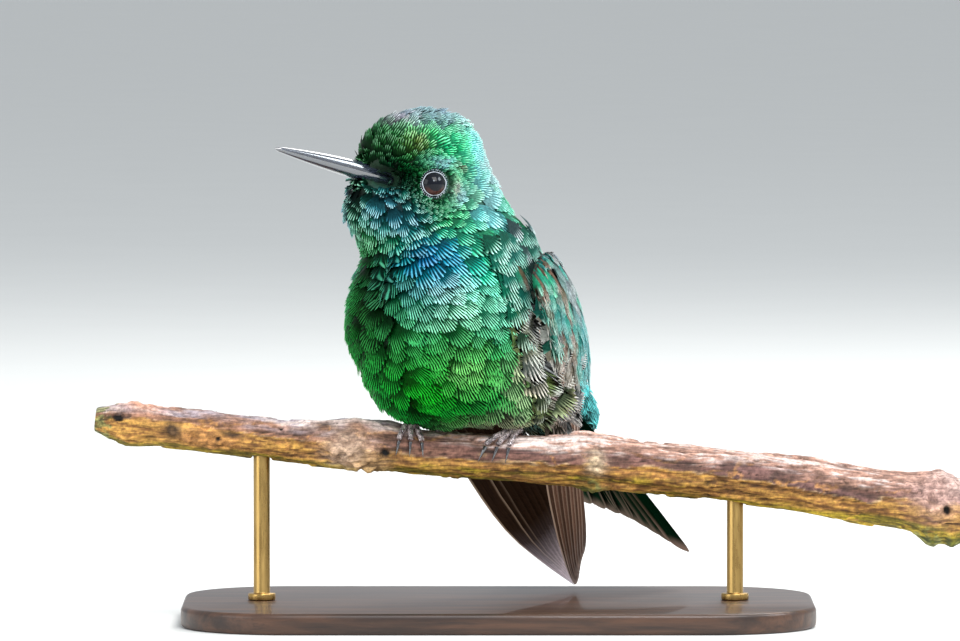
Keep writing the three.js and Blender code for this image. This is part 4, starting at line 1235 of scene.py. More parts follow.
def plumeMarks(side, _, back):  # green next to the belly, pale and brown behind
    def colours(roots):
        rng = np.random.default_rng(98 + side)
        colour = mix(paint(132, 160, 96), paint(230, 216, 200), smooth(back, -6.5, -3.8)[:, None])
        colour = mix(colour, paint(132, 96, 76), (rng.random((len(roots), 1)) < 0.15) * 0.5)
        colour, pale = finish(colour, rng)
        pale = mix(pale, np.array([0.95, 0.93, 0.88]), 0.6)
        return colour * 0.9, pale, np.full(len(roots), 0.95), np.full(len(roots), 0.3)
    return colours


def grid(rows, columns):
    row, column = (values.ravel() for values in np.indices((rows, columns)))
    return row / (rows - 1), (column + 0.25 + 0.5 * (row % 2)) / columns


def rowPlaces(values):  # staggered rows along the wing, each from ahead of its front edge to behind it
    along, back = [], []
    for k in range(values["rows"]):
        level = mix(values["from"], values["to"], k / (values["rows"] - 1))
        last = mix(*values["behind"], smooth(level, 0.03, 0.08))
        places = np.arange(-values["ahead"] + (k % 2) * values["step"] / 2, last, values["step"])
        along += [level] * len(places)
        back += list(places)
    return np.array(along), np.array(back)


wingLay = {"roll": 0.03, "slope": 0.8, "cup": 0.03, "thick": 0.2, "material": plumage}


def wingCoverts(side, name):
    rng = np.random.default_rng(70 + side)
    share, over = grid(covertSet["rows"], covertSet["columns"])
    along = mix(covertSet["from"], covertSet["to"], share ** 1.1) + rng.normal(0, 0.005, len(share))
    over = over + rng.normal(0, 0.012, len(share))
    middle, _, out, down = wingSheet(side, along, over)
    roots, normals, _ = shoulders.nearest(middle + out * 2)
    options = {**wingLay, "seed": 80 + side, "swing": 0.06, "slot": "back_plumage",
               "markings": wingMarks(side, along, over), "unwrap": np.stack([over, along * 2], 1)}
    size = (np.full(len(share), covertSet["width"]), mix(covertSet["short"], covertSet["long"], share ** 1.5),
            np.full(len(share), covertSet["lift"]))
    layFeathers("coverts" + name.capitalize(), "hair", roots, normals, down, size, shoulders, options)


def shoulderRows(side, name, style, values, marks, slot):  # feathers over the wing's front edge
    rng = np.random.default_rng(75 + side)
    along, back = rowPlaces(values)
    many = len(along)
    share = (along - values["from"]) / (values["to"] - values["from"])
    along = along + rng.normal(0, 0.01, many)
    back = back + rng.normal(0, 0.35, many)
    level = np.maximum(along, 0)
    edge, _, out, down = wingSheet(side, level, np.zeros(many))
    chord = unit(wingSheet(side, level, np.ones(many))[0] - edge)
    edge = edge + down * (np.minimum(along, 0) * wingLength)[:, None]
    roots, normals, _ = shoulders.nearest(edge + chord * back[:, None] + out)
    flow = unit(down * values["lean"][0] + chord * values["lean"][1])
    flow = unit(flow - (flow * normals).sum(1, keepdims=True) * normals)
    place = (back + values["ahead"]) / (values["ahead"] + values["behind"][0])
    options = {**wingLay, "seed": 84 + side, "swing": 0.07, "slot": slot, "markings": marks(side, along, back),
               "unwrap": np.stack([place, share], 1), "clearOf": ((branchSurface, 0.1),)}
    size = (np.full(many, values["width"]), mix(values["short"], values["long"], share),
            mix(*values["lift"], share))
    layFeathers(name, style, roots, normals, flow, size, shoulders, options)


flightMaterial = quillMaterial("flightVane", {"rough": 0.5, "shine": 0.04, "slant": 3.0, "rim": 0.8, "lead": 0.5,
                                              "end": 0.94, "shaft": paint(60, 40, 34)})
for side, name in ((1, "left"), (-1, "right")):
    end = name.capitalize()
    gatherQuills("quills" + end, *wingQuills(side), flightMaterial, "flight_feathers", "wing_" + name)
    # the wing's arm takes the skin's painted shade
    dress(arms[side], bpy.data.materials["skinPaintedShade"], "back_plumage", "wing_coverts_" + name)
    wingCoverts(side, name)
    shoulderRows(side, "cape" + end, "mantle", capeSet, capeMarks, "back_plumage")
    shoulderRows(side, "flankDown" + end, "body", downSet, plumeMarks, "belly_plumage")
    shoulderRows(side, "flankPlumes" + end, "plume", plumeSet, plumeMarks, "belly_plumage")


# tail

tailSet = {"root": (1.0, 19.6, 7.8), "yaw": 5.0, "pitch": 43.0, "roll": 20.0, "feathers": 10, "spread": 18.0,
           "rootHalf": 2.6, "length": 36.8, "fork": 1.2, "halfWidth": 2.6, "start": 0.08, "arch": 0.9,
           "sag": 0.7, "tip": 0.09, "innerRim": 0.5}
tailLooks = ((paint(6, 50, 34), paint(5, 40, 22), paint(16, 44, 28)),
             (paint(12, 54, 42), paint(120, 100, 84), paint(196, 164, 148)))


def makeTail():
    rng = np.random.default_rng(51)
    frameOf = turn(tailSet["yaw"], tailSet["pitch"], tailSet["roll"])
    root = np.array(tailSet["root"])
    stations = quillSet["stations"]
    half = tailSet["rootHalf"] + tailSet["halfWidth"]
    quills, colours = [], []
    for k in range(tailSet["feathers"]):
        outermost = k in (0, tailSet["feathers"] - 1)
        place = (2 * (k + 0.5) / tailSet["feathers"]) - 1
        outer = abs(2 * k / (tailSet["feathers"] - 1) - 1)
        end = 1 - tailSet["fork"] / tailSet["length"] * (1 - outer ** 1.4)
        along = mix(tailSet["start"], end, quillShares(tailSet["tip"]))
        angle = math.radians(place * tailSet["spread"])
        local = np.stack([
            place * half * np.minimum(1, 0.6 + along) + math.sin(angle) * along * tailSet["length"],
            math.cos(angle) * along * tailSet["length"],
            (1 - place * place) * tailSet["arch"] - along ** 2 * tailSet["sag"] + 0.09 * (5 - abs(k - 4.5))], 1)
        middles = local @ frameOf.T + root
        heading = np.array([math.sin(angle), math.cos(angle), 0.0])
        sides = np.tile(frameOf @ np.array([heading[1], -heading[0], 0.08 * -place]), (stations, 1))
        normals = np.tile(frameOf @ np.array([0.0, 0.0, 1.0]), (stations, 1))
        swell = 0.9 + 1.7 * smooth(along, 0.0, 0.75)
        inner, outer = swell * 1.5, swell * 0.75
        outer = outer + 0.6 * outermost * smooth(along, 0.1, 0.5)
        left, right = (inner, outer) if place > 0 else (outer, inner)
        quills.append(quill(middles, unit(sides), normals, left, right, tailSet["tip"], rng))
        vane, edge = quillColours(tailLooks, rng)
        colours.append((vane, mix(vane, edge, 1.0 if outermost else tailSet["innerRim"])))
    material = quillMaterial("tailVane", {"rough": 0.6, "shine": 0.0, "slant": 3.0, "rim": 0.7, "lead": 1.5,
                                          "end": 0.9, "shaft": paint(20, 30, 26)})
    gatherQuills("tailQuills", quills, colours, material, "tail_feathers", "tail")


makeTail()


# eyes: a glossy ball, a thin dark lid and a ring of small pale feathers round it

eyeLooks = {"bulge": 0.1, "lidMajor": 1.8, "lidMinor": 0.08, "beads": 40, "bead": 0.11, "beadRing": 2.1}


def eyeMaterial():
    tree = Tree("eyeBall", Roughness=0.3, Specular_IOR_Level=0.05,
                Coat_Weight=1.0, Coat_Roughness=0.03, Coat_IOR=1.32)
    away = tree.attribute("fromPupil")
    low = tree.attribute("low")
    streaks = tree.noise(tree.place(), 1500, 3, 0.6)
    iris = tree.mix(streaks, paint(44, 20, 17), paint(84, 44, 36))
    # painted light: the red-brown iris shows only on the ball's lower side, as lit there; above it the ball stays
    # dark
    iris = tree.mix(tree.span(low, 0.4, 0.85), paint(7, 9, 16), iris)
    iris = tree.mix(tree.span(away, 50, 58), iris, paint(6, 6, 9))
    tree.feed("Base Color", tree.mix(tree.span(away, 30, 36), paint(6, 10, 20), iris))
    return tree.material


def lidMaterial():
    tree = Tree("lid", Roughness=0.5)
    spots = tree.noise(tree.place(), 3000, 2)
    tree.feed("Base Color", tree.mix(spots, paint(130, 136, 146), paint(220, 226, 234)))
    tree.bump(spots, 0.6, 0.05)
    return tree.material


def beadMaterial():
    tree = Tree("lidFeathers", Roughness=0.6, Sheen_Weight=0.3)
    spots = tree.noise(tree.place(), 1200, 2)
    tree.feed("Base Color", tree.mix(tree.span(spots, 0.4, 0.6), paint(92, 118, 128), paint(184, 196, 204)))
    return tree.material


def setAtEye(piece, name, points, facing, middle):  # +Z turns onto the way the eye looks
    piece.name = name
    movePoints(piece, points * mm)
    piece.rotation_mode = "QUATERNION"
    piece.rotation_quaternion = facing
    piece.location = toWorld(middle)
    settle(piece)
    piece.data.shade_smooth()


def makeEye(side, name, materials):
    middle, axis = eyePlace(side)
    facing = Vector(birdTurn @ axis).to_track_quat("Z", "Y")
    deselect()
    bpy.ops.mesh.primitive_uv_sphere_add(segments=64, ring_count=40, radius=eyeSet["radius"] * mm)
    ball = bpy.context.object
    points = pointsOf(ball) / mm
    away = np.degrees(np.arccos(np.clip(points[:, 2] / eyeSet["radius"], -1, 1)))
    points[:, 2] += eyeLooks["bulge"] * (1 - smooth(away, 0, 38))
    setNumber(ball, "fromPupil", away)
    setNumber(ball, "low", -unit(points @ np.array(facing.to_matrix()).T)[:, 2] + 0.35)
    setAtEye(ball, "eyeBall" + name, points, facing, middle)
    dress(ball, materials[0], "eye", "eye_" + name.lower())
    deselect()
    bpy.ops.mesh.primitive_torus_add(major_radius=eyeLooks["lidMajor"] * mm, minor_radius=eyeLooks["lidMinor"] * mm,
                                     major_segments=72, minor_segments=14)
    lid = bpy.context.object
    points = pointsOf(lid) / mm
    around = np.arctan2(points[:, 1], points[:, 0])
    points[:, 2] += math.sqrt(eyeSet["radius"] ** 2 - eyeLooks["lidMajor"] ** 2) + 0.03
    points[:, :2] *= (1 + 0.035 * np.cos(2 * around) ** 3 + 0.01 * np.sin(9 * around))[:, None]
    setAtEye(lid, "lid" + name, points, facing, middle)
    dress(lid, materials[1], "eye")
    makeBeads(side, name, middle, np.array(facing.to_matrix()), materials[2])


def makeBeads(side, name, middle, hold, material):  # the ring of small pale feathers
    rng = np.random.default_rng(30 + side)
    deselect()
    bpy.ops.mesh.primitive_ico_sphere_add(subdivisions=2, radius=1.0)
    seed = bpy.context.object
    unitPoints = pointsOf(seed)
    unitFaces = np.array([tuple(polygon.vertices) for polygon in seed.data.polygons])
    bpy.data.objects.remove(seed)
    points, faces = [], []
    for k in range(eyeLooks["beads"]):
        turned = 2 * math.pi * (k + rng.uniform(-0.15, 0.15)) / eyeLooks["beads"]
        out = np.array([math.cos(turned), math.sin(turned), 0])
        along = np.array([-math.sin(turned), math.cos(turned), 0])
        size = eyeLooks["bead"] * rng.uniform(0.75, 1.15)
        shaped = unitPoints[:, :1] * out * size * 1.25 + unitPoints[:, 1:2] * along * size * 0.72
        shaped = shaped + unitPoints[:, 2:] * np.array([0, 0, size * 0.6])
        ring = eyeLooks["beadRing"] * (1 + rng.uniform(-0.02, 0.02))
        spot = out * ring + np.array([0, 0, math.sqrt(eyeSet["radius"] ** 2 - eyeLooks["lidMajor"] ** 2) - 0.1])
        faces.append(unitFaces + k * len(unitPoints))
        points.append(((shaped + spot) @ hold.T) * mm + toWorld(middle))
    beads = meshPiece("lidFeathers" + name, np.concatenate(points), np.concatenate(faces), True)
    dress(beads, material, "head_plumage")


def makeEyes():
    materials = (eyeMaterial(), lidMaterial(), beadMaterial())
    for side, name in ((1, "Left"), (-1, "Right")):
        makeEye(side, name, materials)


makeEyes()
print("eyes made")


# bill: two half-round cones, the lower one inside the edges of the upper

billLooks = {"rings": 36, "sides": 40, "upper": 1.2, "lower": 1.04, "gap": 0.04, "nostrilFrom": 0.4,
             "nostrilTo": 3.9}


def hornMaterial():
    tree = Tree("billHorn", Specular_IOR_Level=0.9, Coat_Weight=1.0, Coat_Roughness=0.12, Coat_IOR=2.2)
    grain = tree.noise(tree.place((180, 180, 900), (0, 0, 20)), 6, 4, 0.6)
    tree.feed("Base Color", tree.mix(tree.span(grain, 0.3, 0.7), paint(20, 24, 33), paint(44, 52, 70)))
    tree.feed("Roughness", tree.span(grain, 0.3, 0.75, 0.18, 0.28))
    return tree.material


def makeBillHalf(level, name, node, material):
    total = billSet["length"] + billSet["buried"]
    deselect()
    bpy.ops.mesh.primitive_cylinder_add(vertices=billLooks["sides"], radius=1, depth=1, rotation=(math.pi / 2, 0, 0))
    half = bpy.context.object
    half.name = name
    settle(half)
    openMesh(half)
    bpy.ops.mesh.bisect(plane_co=(0, 0, 0), plane_no=(0, 0, level), use_fill=True, clear_inner=True)
    for i in range(1, billLooks["rings"]):
        bpy.ops.mesh.select_all(action="SELECT")
        bpy.ops.mesh.bisect(plane_co=(0, 0.5 - i / billLooks["rings"], 0), plane_no=(0, 1, 0))
    closeMesh()
    points = pointsOf(half)
    share = np.clip(0.5 - points[:, 1], 0, 1)
    taper = 1 - billSet["taper"] * share ** 2.5
    deep = billSet["halfDepth"] * taper * (billLooks["upper"] if level > 0 else billLooks["lower"])
    wide = billSet["halfWidth"] * taper * (1 if level > 0 else billLooks["lower"])
    ahead = share * total - billSet["buried"]
    ridge = np.abs(points[:, 2]) ** (1.25 if level > 0 else 1.0)
    side = np.sign(points[:, 0]) * np.abs(points[:, 0]) ** 0.9
    slot = smooth(ahead, billLooks["nostrilFrom"] - 0.8, billLooks["nostrilFrom"] + 0.5)
    slot *= 1 - smooth(ahead, billLooks["nostrilTo"] - 1.5, billLooks["nostrilTo"])
    groove = slot * np.exp(-((np.abs(points[:, 2]) - 0.42) / 0.13) ** 2) if level > 0 else 0
    tip = np.sqrt(np.clip(1 - smooth(share, 0.985, 1.0) ** 2, 0.05, 1))
    made = np.stack([
        side * wide * tip * (1 - 0.28 * groove),
        -ahead,
        level * (ridge * deep * tip * (1 - 0.1 * groove) + billLooks["gap"] / 2) - billSet["droop"] * share ** 2], 1)
    movePoints(half, toWorld(made @ billTurn.T + billAt))
    turnOut(half)
    smoothByAngle(50)
    dress(half, material, "bill", node)


horn = hornMaterial()
makeBillHalf(1, "billUpper", "bill_upper", horn)
makeBillHalf(-1, "billLower", "bill_lower", horn)
print("bill made")


# legs and claws

legSet = {"voxel": 0.1, "smoothing": 6, "scutes": 0.03, "skin": 0.06, "clawVoxel": 0.08, "clawSmoothing": 4}


def legMaterial():
    tree = Tree("legSkin", Roughness=0.24, Coat_Weight=1.0, Coat_Roughness=0.1, Coat_IOR=1.8)
    scales = tree.add("TexVoronoi", {"Vector": tree.place((1, 1, 1.6)), "Scale": 2600.0},
                      feature="DISTANCE_TO_EDGE")
    edge = tree.span(scales.outputs["Distance"], 0.0, 0.12)
    blotch = tree.noise(tree.place(), 900, 3)
    scute = tree.mix(tree.span(blotch, 0.38, 0.62), paint(104, 86, 88), paint(216, 196, 194))
    tree.feed("Base Color", tree.mix(edge, paint(40, 33, 38), scute))
    tree.bump(edge, 0.8, 0.08)
    return tree.material


def clawMaterial():
    tree = Tree("clawHorn", Roughness=0.2, Coat_Weight=1.0, Coat_Roughness=0.08, Coat_IOR=2.0)
    grain = tree.noise(tree.place(), 1400, 3)
    tree.feed("Base Color", tree.mix(grain, paint(10, 8, 11), paint(40, 34, 40)))
    return tree.material


def makeLegs():
    skinLook, clawLook = legMaterial(), clawMaterial()
    for name in ("left", "right"):
        leg = joinedCopies("leg" + name.capitalize(), ("leg_" + name,))
        rebuild(leg, legSet["voxel"], legSet["smoothing"])
        points = toBird(pointsOf(leg))
        normals = normalsOf(leg) @ birdTurn
        scutes = np.sin(points[:, 2] * 9.0) * legSet["scutes"] + legSet["skin"]
        movePoints(leg, toWorld(points + normals * scutes[:, None]))
        leg.data.shade_smooth()
        dress(leg, skinLook, "leg", "leg_" + name)
        for k in range(1, 5):
            node = "claw_" + name + "_" + str(k)
            claw = joinedCopies("claw" + name.capitalize() + str(k), (node,))
            rebuild(claw, legSet["clawVoxel"], legSet["clawSmoothing"])
            claw.data.shade_smooth()
            dress(claw, clawLook, "claw", node)


makeLegs()
print("legs made")


# branch: weathered bark over the node's shape, with flakes, knots, holes and lichen

branchSet = {
    "line": ((-61.3, 0.6, 30.7), (-50, 0.3, 29.4), (-32, -0.3, 27.4), (-8, 0, 25.4), (16, 0.3, 23.9),
             (40, -0.2, 21.6), (58, 0.2, 18.7), (71.5, 0.4, 16.6)),
    "voxel": 0.3, "smoothing": 8, "grain": 0.24, "fine": 0.1, "crack": 0.3, "flake": 0.26,
    "feet": (-13.7, 2.6), "feetReach": 5.0,
}
barkSpots = {  # along, turn from forwards up, reach along, reach round in degrees, height, roughness, colour
    "endBump": (-54.0, 80, 3.2, 40, 0.45, 0.6, paint(222, 162, 132)),
    "burl": (-22.8, -10, 3.2, 42, 0.9, 1.3, paint(222, 190, 164)),
    "burlLow": (-19.5, -46, 2.8, 30, 0.6, 1.0, paint(196, 158, 110)),
    "peel": (-45.0, -14, 5.0, 26, 0.35, 0.7, paint(206, 146, 84)),
    "peelDark": (-40.5, 6, 1.6, 9, -0.3, 0.5, paint(44, 34, 30)),
    "collarDark": (-49.5, -4, 1.3, 26, -0.3, 0.5, paint(56, 44, 34)),
    "knot": (14.8, 2, 1.3, 26, 0.6, 1.1, paint(214, 190, 156)),
    "clump": (13.8, -82, 1.9, 20, 0.8, 0.5, paint(140, 146, 44)),
    "endKnot": (66.0, 25, 3.6, 40, 0.4, 1.2, paint(196, 158, 146)),
    "endKnotTop": (69.0, 80, 2.5, 40, 0.3, 0.8, paint(206, 176, 166)),
    "endLump": (65.6, -86, 1.8, 26, 1.6, 0.2, paint(58, 84, 18)),
    "endLumpOuter": (69.6, -80, 1.7, 26, 1.5, 0.2, paint(72, 96, 26)),
}
barkHoles = (  # along, turn, reach and depth
    (-17.2, -6, 1.0, 1.4), (-57.8, 20, 1.2, 0.8), (-42.5, -12, 0.5, 0.4), (68.0, 0, 0.8, 0.8),
    (-33.0, 40, 0.45, 0.4))


def barkPlaces(points):  # place along, middle, way out and turn for points on the branch, in mm
    dense = spline(branchSet["line"], np.linspace(0, 1, 400))
    middle = np.stack([points[:, 0], np.interp(points[:, 0], dense[:, 0], dense[:, 1]),
                       np.interp(points[:, 0], dense[:, 0], dense[:, 2])], 1)
    out = points - middle
    out[:, 0] = 0
    return middle, unit(out), np.degrees(np.arctan2(out[:, 2], -out[:, 1]))


def turnGap(turned, place):
    return np.abs((turned - place + 180) % 360 - 180)


def barkMaterial():
    tree = Tree("weatheredBark", Roughness=0.82)
    fibres = tree.noise(tree.place((60, 900, 900), (0, 4, 0)), 2.0, 5, 0.7)
    grit = tree.noise(tree.place(), 1500, 4, 0.65)
    tint = tree.attribute("tint", "Color")
    light = tree.mix(tree.span(fibres, 0.3, 0.7), (0.5, 0.48, 0.47), (1.35, 1.35, 1.36))
    grains = tree.mix(tree.span(grit, 0.3, 0.7), (0.62, 0.6, 0.6), (1.25, 1.25, 1.25))
    colour = tree.mix(1.0, tint, light, "MULTIPLY")
    tree.feed("Base Color", tree.mix(1.0, colour, grains, "MULTIPLY"))
    tree.bump(tree.sum(fibres, tree.sum(grit, 0.6, "MULTIPLY")), 0.7, 0.16)
    return tree.material


def makeBranch():
    branch = joinedCopies("branch", ("perch_branch",))
    rebuild(branch, branchSet["voxel"], branchSet["smoothing"])
    points = pointsOf(branch) / mm
    middle, out, turned = barkPlaces(points)
    rounds = np.stack([points[:, 0], out[:, 1] * 3.5, out[:, 2] * 3.5], 1)
    grain = softNoise(rounds, (0.07, 0.9, 0.9)) + 0.5 * softNoise(rounds, (0.16, 2.0, 2.0), 9)
    fine = softNoise(rounds, (0.5, 3.6, 3.6), 4)
    crack = np.exp(-(softNoise(rounds, (0.06, 0.75, 0.75), 31) / 0.035) ** 2)
    layers = softNoise(rounds, (0.11, 0.42, 0.42), 57) + 0.22 * softNoise(rounds, (0.7, 1.1, 1.1), 63)
    flake = smooth(layers, 0.1, 0.16)
    nearFeet = np.zeros(len(points))
    for foot in branchSet["feet"]:
        nearFeet = np.maximum(nearFeet, 1 - smooth(np.abs(points[:, 0] - foot), branchSet["feetReach"] - 1.5,
                                                   branchSet["feetReach"]))
    nearFeet *= smooth(turned, -40, -20) + (turned < -120)
    height = branchSet["grain"] * grain + branchSet["fine"] * fine - branchSet["crack"] * crack
    height += branchSet["flake"] * flake - 0.08
    upward = np.sin(np.radians(turned))
    wander = softNoise(rounds, (0.06, 0.5, 0.5), 80) * 0.55 + softNoise(rounds, (0.4, 1.2, 1.2), 85) * 0.25
    colour = np.tile(paint(132, 92, 80), (len(points), 1))
    warm = smooth(-points[:, 0], 2, 24)[:, None]
    colour = mix(colour, paint(190, 138, 104), warm * 0.75)
    purple = smooth(softNoise(rounds, (0.05, 0.8, 0.8), 101), 0.0, 0.4)[:, None]
    colour = mix(colour, paint(112, 82, 80), purple * (1 - 0.6 * warm) * 0.6)
    blotch = smooth(softNoise(rounds, (0.22, 0.6, 0.6), 133), 0.08, 0.3)[:, None]
    colour = mix(colour, paint(70, 46, 34), blotch * 0.6)
    border = upward + wander
    topColour = mix(mix(paint(196, 152, 132), paint(182, 170, 178), warm), paint(232, 214, 206),
                    smooth(grain + fine, 0.0, 0.5)[:, None])
    colour = mix(colour, topColour, smooth(border, 0.4, 0.85)[:, None] * 0.9)
    peeled = smooth(-border, -0.08, -0.02)[:, None]
    ochre = mix(paint(150, 102, 46), paint(212, 160, 74), smooth(fine + 0.5 * grain, -0.15, 0.3)[:, None])
    colour = mix(colour, ochre, peeled * 0.9)
    lip = np.exp(-((border - 0.06) / 0.035) ** 2)
    colour = mix(colour, paint(226, 190, 142), lip[:, None] * 0.6)
    height += 0.14 * lip - 0.08 * peeled[:, 0]
    under = smooth(-border, 0.55, 0.9)[:, None]
    lichen = mix(paint(118, 108, 24), paint(208, 180, 52), smooth(fine + layers, -0.1, 0.4)[:, None])
    colour = mix(colour, lichen, under * 0.9)
    shown = smooth(layers, 0.02, 0.1) * (1 - smooth(layers, 0.1, 0.15))
    colour = mix(colour, paint(214, 154, 84), (shown * (1 - smooth(border, 0.4, 0.8)) * 0.6)[:, None])
    # painted shade: the colour darkens in the cracks and in the low places of the bark's relief
    colour = mix(colour, colour * 0.25, (crack * 0.85)[:, None])
    colour = mix(colour, colour * 0.55, smooth(-fine - grain * 0.6, 0.1, 0.5)[:, None])
    for along, place, reach, wide, rise, ragged, spotColour in barkSpots.values():
        share = np.exp(-((points[:, 0] - along) / reach) ** 2 - (turnGap(turned, place) / wide) ** 2)
        rough = softNoise(rounds, (0.9, 1.3, 1.3), along)
        height += share * (rise + ragged * rough)
        spot = spotColour * (1 + 0.5 * rough[:, None])
        colour = mix(colour, spot, np.clip(share * 1.3, 0, 1)[:, None] * 0.85)
        colour = mix(colour, colour * 0.3, (np.exp(-((rough + 0.12) / 0.06) ** 2) * share)[:, None] * 0.8)
    for along, place, reach, deep in barkHoles:
        away = np.hypot(points[:, 0] - along, turnGap(turned, place) / 57 * 3.6)
        share = 1 - smooth(away, 0.4 * reach, reach)
        height -= share * deep
        # painted shade: the holes are painted near black inside
        colour = mix(colour, paint(12, 8, 6), np.clip(share * 1.2, 0, 1)[:, None])
    mossy = smooth(-57.5 - points[:, 0] + 3 * softNoise(rounds, (0.5, 0.8, 0.8), 7), 0, 3.5)
    for along, place, reach in ((14, -80, 2.6), (66, -85, 5)):
        patch = np.exp(-((points[:, 0] - along) / reach) ** 2 - (turnGap(turned, place) / 50) ** 2)
        mossy = np.maximum(mossy, 0.8 * patch)
    moss = smooth(softNoise(rounds, (1.1, 1.5, 1.5), 15) + mossy - 0.5, -0.1, 0.25) * smooth(mossy, 0.1, 0.5)
    mossColour = mix(paint(66, 74, 34), paint(158, 158, 92), smooth(fine, -0.3, 0.3)[:, None])
    colour = mix(colour, mossColour, moss[:, None] * 0.85)
    height += moss * 0.15
    height = np.where(nearFeet > 0, mix(height, np.minimum(height, 0.0) * 0.6, nearFeet), height)
    ends = smooth(np.abs(points[:, 0] - 5), 63.5, 65.5)
    rings = smooth(np.sin(np.linalg.norm(points - middle, axis=1) * 6.5 + 2.5 * fine), -0.4, 0.6)[:, None]
    last = points[:, 0].max()
    sawn = smooth(points[:, 0], last - 0.9, last - 0.4)[:, None]  # the cut end shows pale wood in rings
    colour = mix(colour, mix(paint(206, 172, 126), paint(150, 110, 72), rings * 0.7), sawn)
    height *= 1 - sawn[:, 0]
    height = np.where(points[:, 0] < -59.5, height * 0.5, height)
    movePoints(branch, (points + out * (height * (1 - ends * 0.6))[:, None]) * mm)
    setColour(branch, "tint", np.clip(colour, 0, 1))
    branch.data.shade_smooth()
    dress(branch, barkMaterial(), "bark", "perch_branch")


makeBranch()
print("branch made")


# stand: a bevelled wooden base and two brass pins

standSet = {"corner": 16.0, "bevel": 0.7, "pin": 1.25, "collar": 2.1, "collarHigh": 1.0, "pinBevel": 0.15}


def cubeOver(name, low, high):
    deselect()
    bpy.ops.mesh.primitive_cube_add(size=1, location=(low + high) / 2, scale=high - low)
    made = bpy.context.object
    made.name = name
    settle(made)
    return made


def pick(piece, kind, parts, test):  # leaves edit mode open, with the parts that pass the test selected
    openMesh(piece)
    bpy.ops.mesh.select_mode(type=kind)
    bpy.ops.mesh.select_all(action="DESELECT")
    closeMesh()
    for part in getattr(piece.data, parts):
        part.select = test(part)
    bpy.ops.object.mode_set(mode="EDIT")


def bevelEdges(piece, upright, size, segments):
    def chosen(edge):
        a, b = (piece.data.vertices[v].co.z for v in edge.vertices)
        return abs(a - b) > mm if upright else abs(a - b) < 1e-6

    pick(piece, "EDGE", "edges", chosen)
    bpy.ops.mesh.bevel(offset=size * mm, segments=segments, affect="EDGES")
    closeMesh()


def woodMaterial():
    tree = Tree("darkWood", Roughness=0.45, Coat_Weight=0.2)
    grain = tree.noise(tree.place((14, 160, 160)), 3.0, 5, 0.6, 0.4)
    pores = tree.noise(tree.place((60, 1400, 900)), 2.0, 3, 0.6)
    base = tree.mix(tree.span(grain, 0.3, 0.7), paint(44, 27, 18), paint(86, 56, 38))
    dark = tree.sum(tree.span(pores, 0.55, 0.75), 0.5, "MULTIPLY")
    tree.feed("Base Color", tree.mix(dark, base, paint(20, 12, 8)))
    tree.bump(pores, 0.2, 0.1)
    return tree.material


def brassMaterial():
    tree = Tree("brass", Metallic=1.0, Roughness=0.3)
    scuffs = tree.noise(tree.place((300, 300, 40)), 4, 3)
    tree.feed("Base Color", tree.mix(scuffs, paint(168, 130, 70), paint(206, 172, 108)))
    tree.feed("Roughness", tree.span(scuffs, 0.3, 0.7, 0.22, 0.42))
    return tree.material


def makeStand():
    def onCollar(face):
        return 0 < face.center.z - high.z < standSet["collarHigh"] * mm and abs(face.normal.z) < 0.1

    low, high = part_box("stand_base")
    base = cubeOver("standBase", low, high)
    bevelEdges(base, True, standSet["corner"], 20)
    bevelEdges(base, False, standSet["bevel"], 5)
    smoothByAngle(35)
    dress(base, woodMaterial(), "stand_wood", "stand_base")
    brass = brassMaterial()
    for name in ("left", "right"):
        pinLow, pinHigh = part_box("stand_pin_" + name)
        middle = (pinLow + pinHigh) / 2
        deselect()
        bpy.ops.mesh.primitive_cylinder_add(vertices=48, radius=standSet["pin"] * mm, depth=(pinHigh - pinLow).z,
                                            location=middle)
        pin = bpy.context.object
        pin.name = "standPin" + name.capitalize()
        settle(pin)
        openMesh(pin)
        for level in (high.z + 0.05 * mm, high.z + (standSet["collarHigh"] + 0.05) * mm):
            bpy.ops.mesh.select_all(action="SELECT")
            bpy.ops.mesh.bisect(plane_co=(0, 0, level), plane_no=(0, 0, 1))
        closeMesh()
        pick(pin, "FACE", "polygons", onCollar)
        collar = {"value": (standSet["collar"] - standSet["pin"]) * mm}
        bpy.ops.mesh.extrude_region_shrink_fatten(TRANSFORM_OT_shrink_fatten=collar)
        closeMesh()
        addModifier(pin, "BEVEL", width=standSet["pinBevel"] * mm, segments=3, limit_method="ANGLE")
        applyAll(pin)
        smoothByAngle(35)
        dress(pin, brass, "stand_metal", "stand_pin_" + name)


makeStand()
print("stand made")


# stage, light and camera

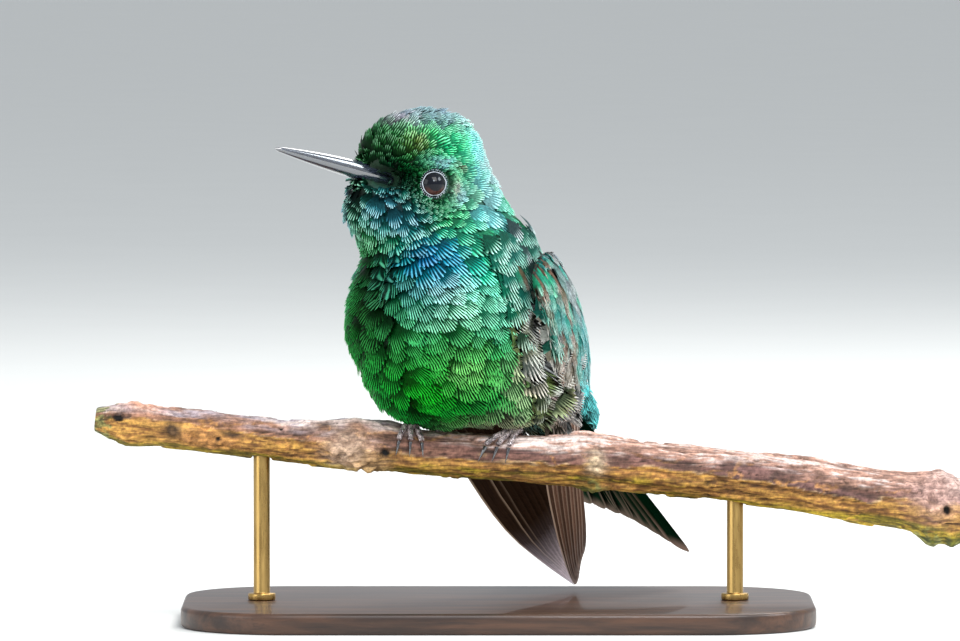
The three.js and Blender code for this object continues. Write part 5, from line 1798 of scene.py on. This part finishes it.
stageSet = {"floor": 16.0, "grey": paint(228, 228, 225), "world": 0.72, "sky": (0.82, 0.87, 0.92, 1),
            "aim": (-0.003, 0, 0.045)}
lamps = {  # place in metres, watts, size and colour
    "keyRight": ((0.3, -0.62, 0.85), 8.6, 0.65, (1.0, 0.98, 0.95)),
    "sideRight": ((0.9, -0.06, 0.72), 5.6, 0.4, (0.86, 0.94, 1.0)),
    "fillLeft": ((-0.8, -0.5, 0.35), 2.4, 0.6, (0.92, 0.97, 1.0)),
    "sparkle": ((0.12, -0.9, 0.75), 3.2, 0.2, (0.8, 0.9, 1.0)),
    "rimBack": ((0.25, 0.5, 0.6), 3.2, 0.35, (1.0, 0.99, 0.97)),
}


def makeStage():
    deselect()
    bpy.ops.mesh.primitive_plane_add(size=stageSet["floor"])
    floor = bpy.context.object
    floor.name = "floor"
    settle(floor)
    tree = Tree("paleFloor", Roughness=0.9)
    spot = tree.noise(tree.place(), 30, 2)
    tree.feed("Base Color", tree.mix(spot, stageSet["grey"] * 0.97, stageSet["grey"]))
    floor.data.materials.append(tree.material)


def makeLights():
    world = bpy.data.worlds.new("softGrey")
    world.use_nodes = True
    world.node_tree.nodes["Background"].inputs["Color"].default_value = stageSet["sky"]
    world.node_tree.nodes["Background"].inputs["Strength"].default_value = stageSet["world"]
    bpy.context.scene.world = world
    for name, (place, power, size, colour) in lamps.items():
        light = bpy.data.lights.new(name, "AREA")
        light.energy = power
        light.size = size
        light.color = colour
        lamp = inScene(bpy.data.objects.new(name, light))
        lamp.location = place
        lamp.rotation_euler = (Vector(stageSet["aim"]) - Vector(place)).to_track_quat("-Z", "Y").to_euler()


cameraSet = {"aim": (-0.0028, 0.0, 0.04576), "elevation": 3.0, "distance": 1.5, "width": 0.1459}


def makeCamera():
    camera = bpy.data.cameras.new("camera")
    camera.sensor_width = 36
    camera.lens = 36 * cameraSet["distance"] / cameraSet["width"]
    camera.clip_start = 0.05
    holder = inScene(bpy.data.objects.new("camera", camera))
    rise = math.radians(cameraSet["elevation"])
    away = Vector((0, -math.cos(rise), math.sin(rise)))
    holder.location = Vector(cameraSet["aim"]) + away * cameraSet["distance"]
    holder.rotation_euler = (-away).to_track_quat("-Z", "Y").to_euler()
    bpy.context.scene.camera = holder


makeStage()
makeLights()
makeCamera()
bpy.context.scene.view_settings.view_transform = "Standard"
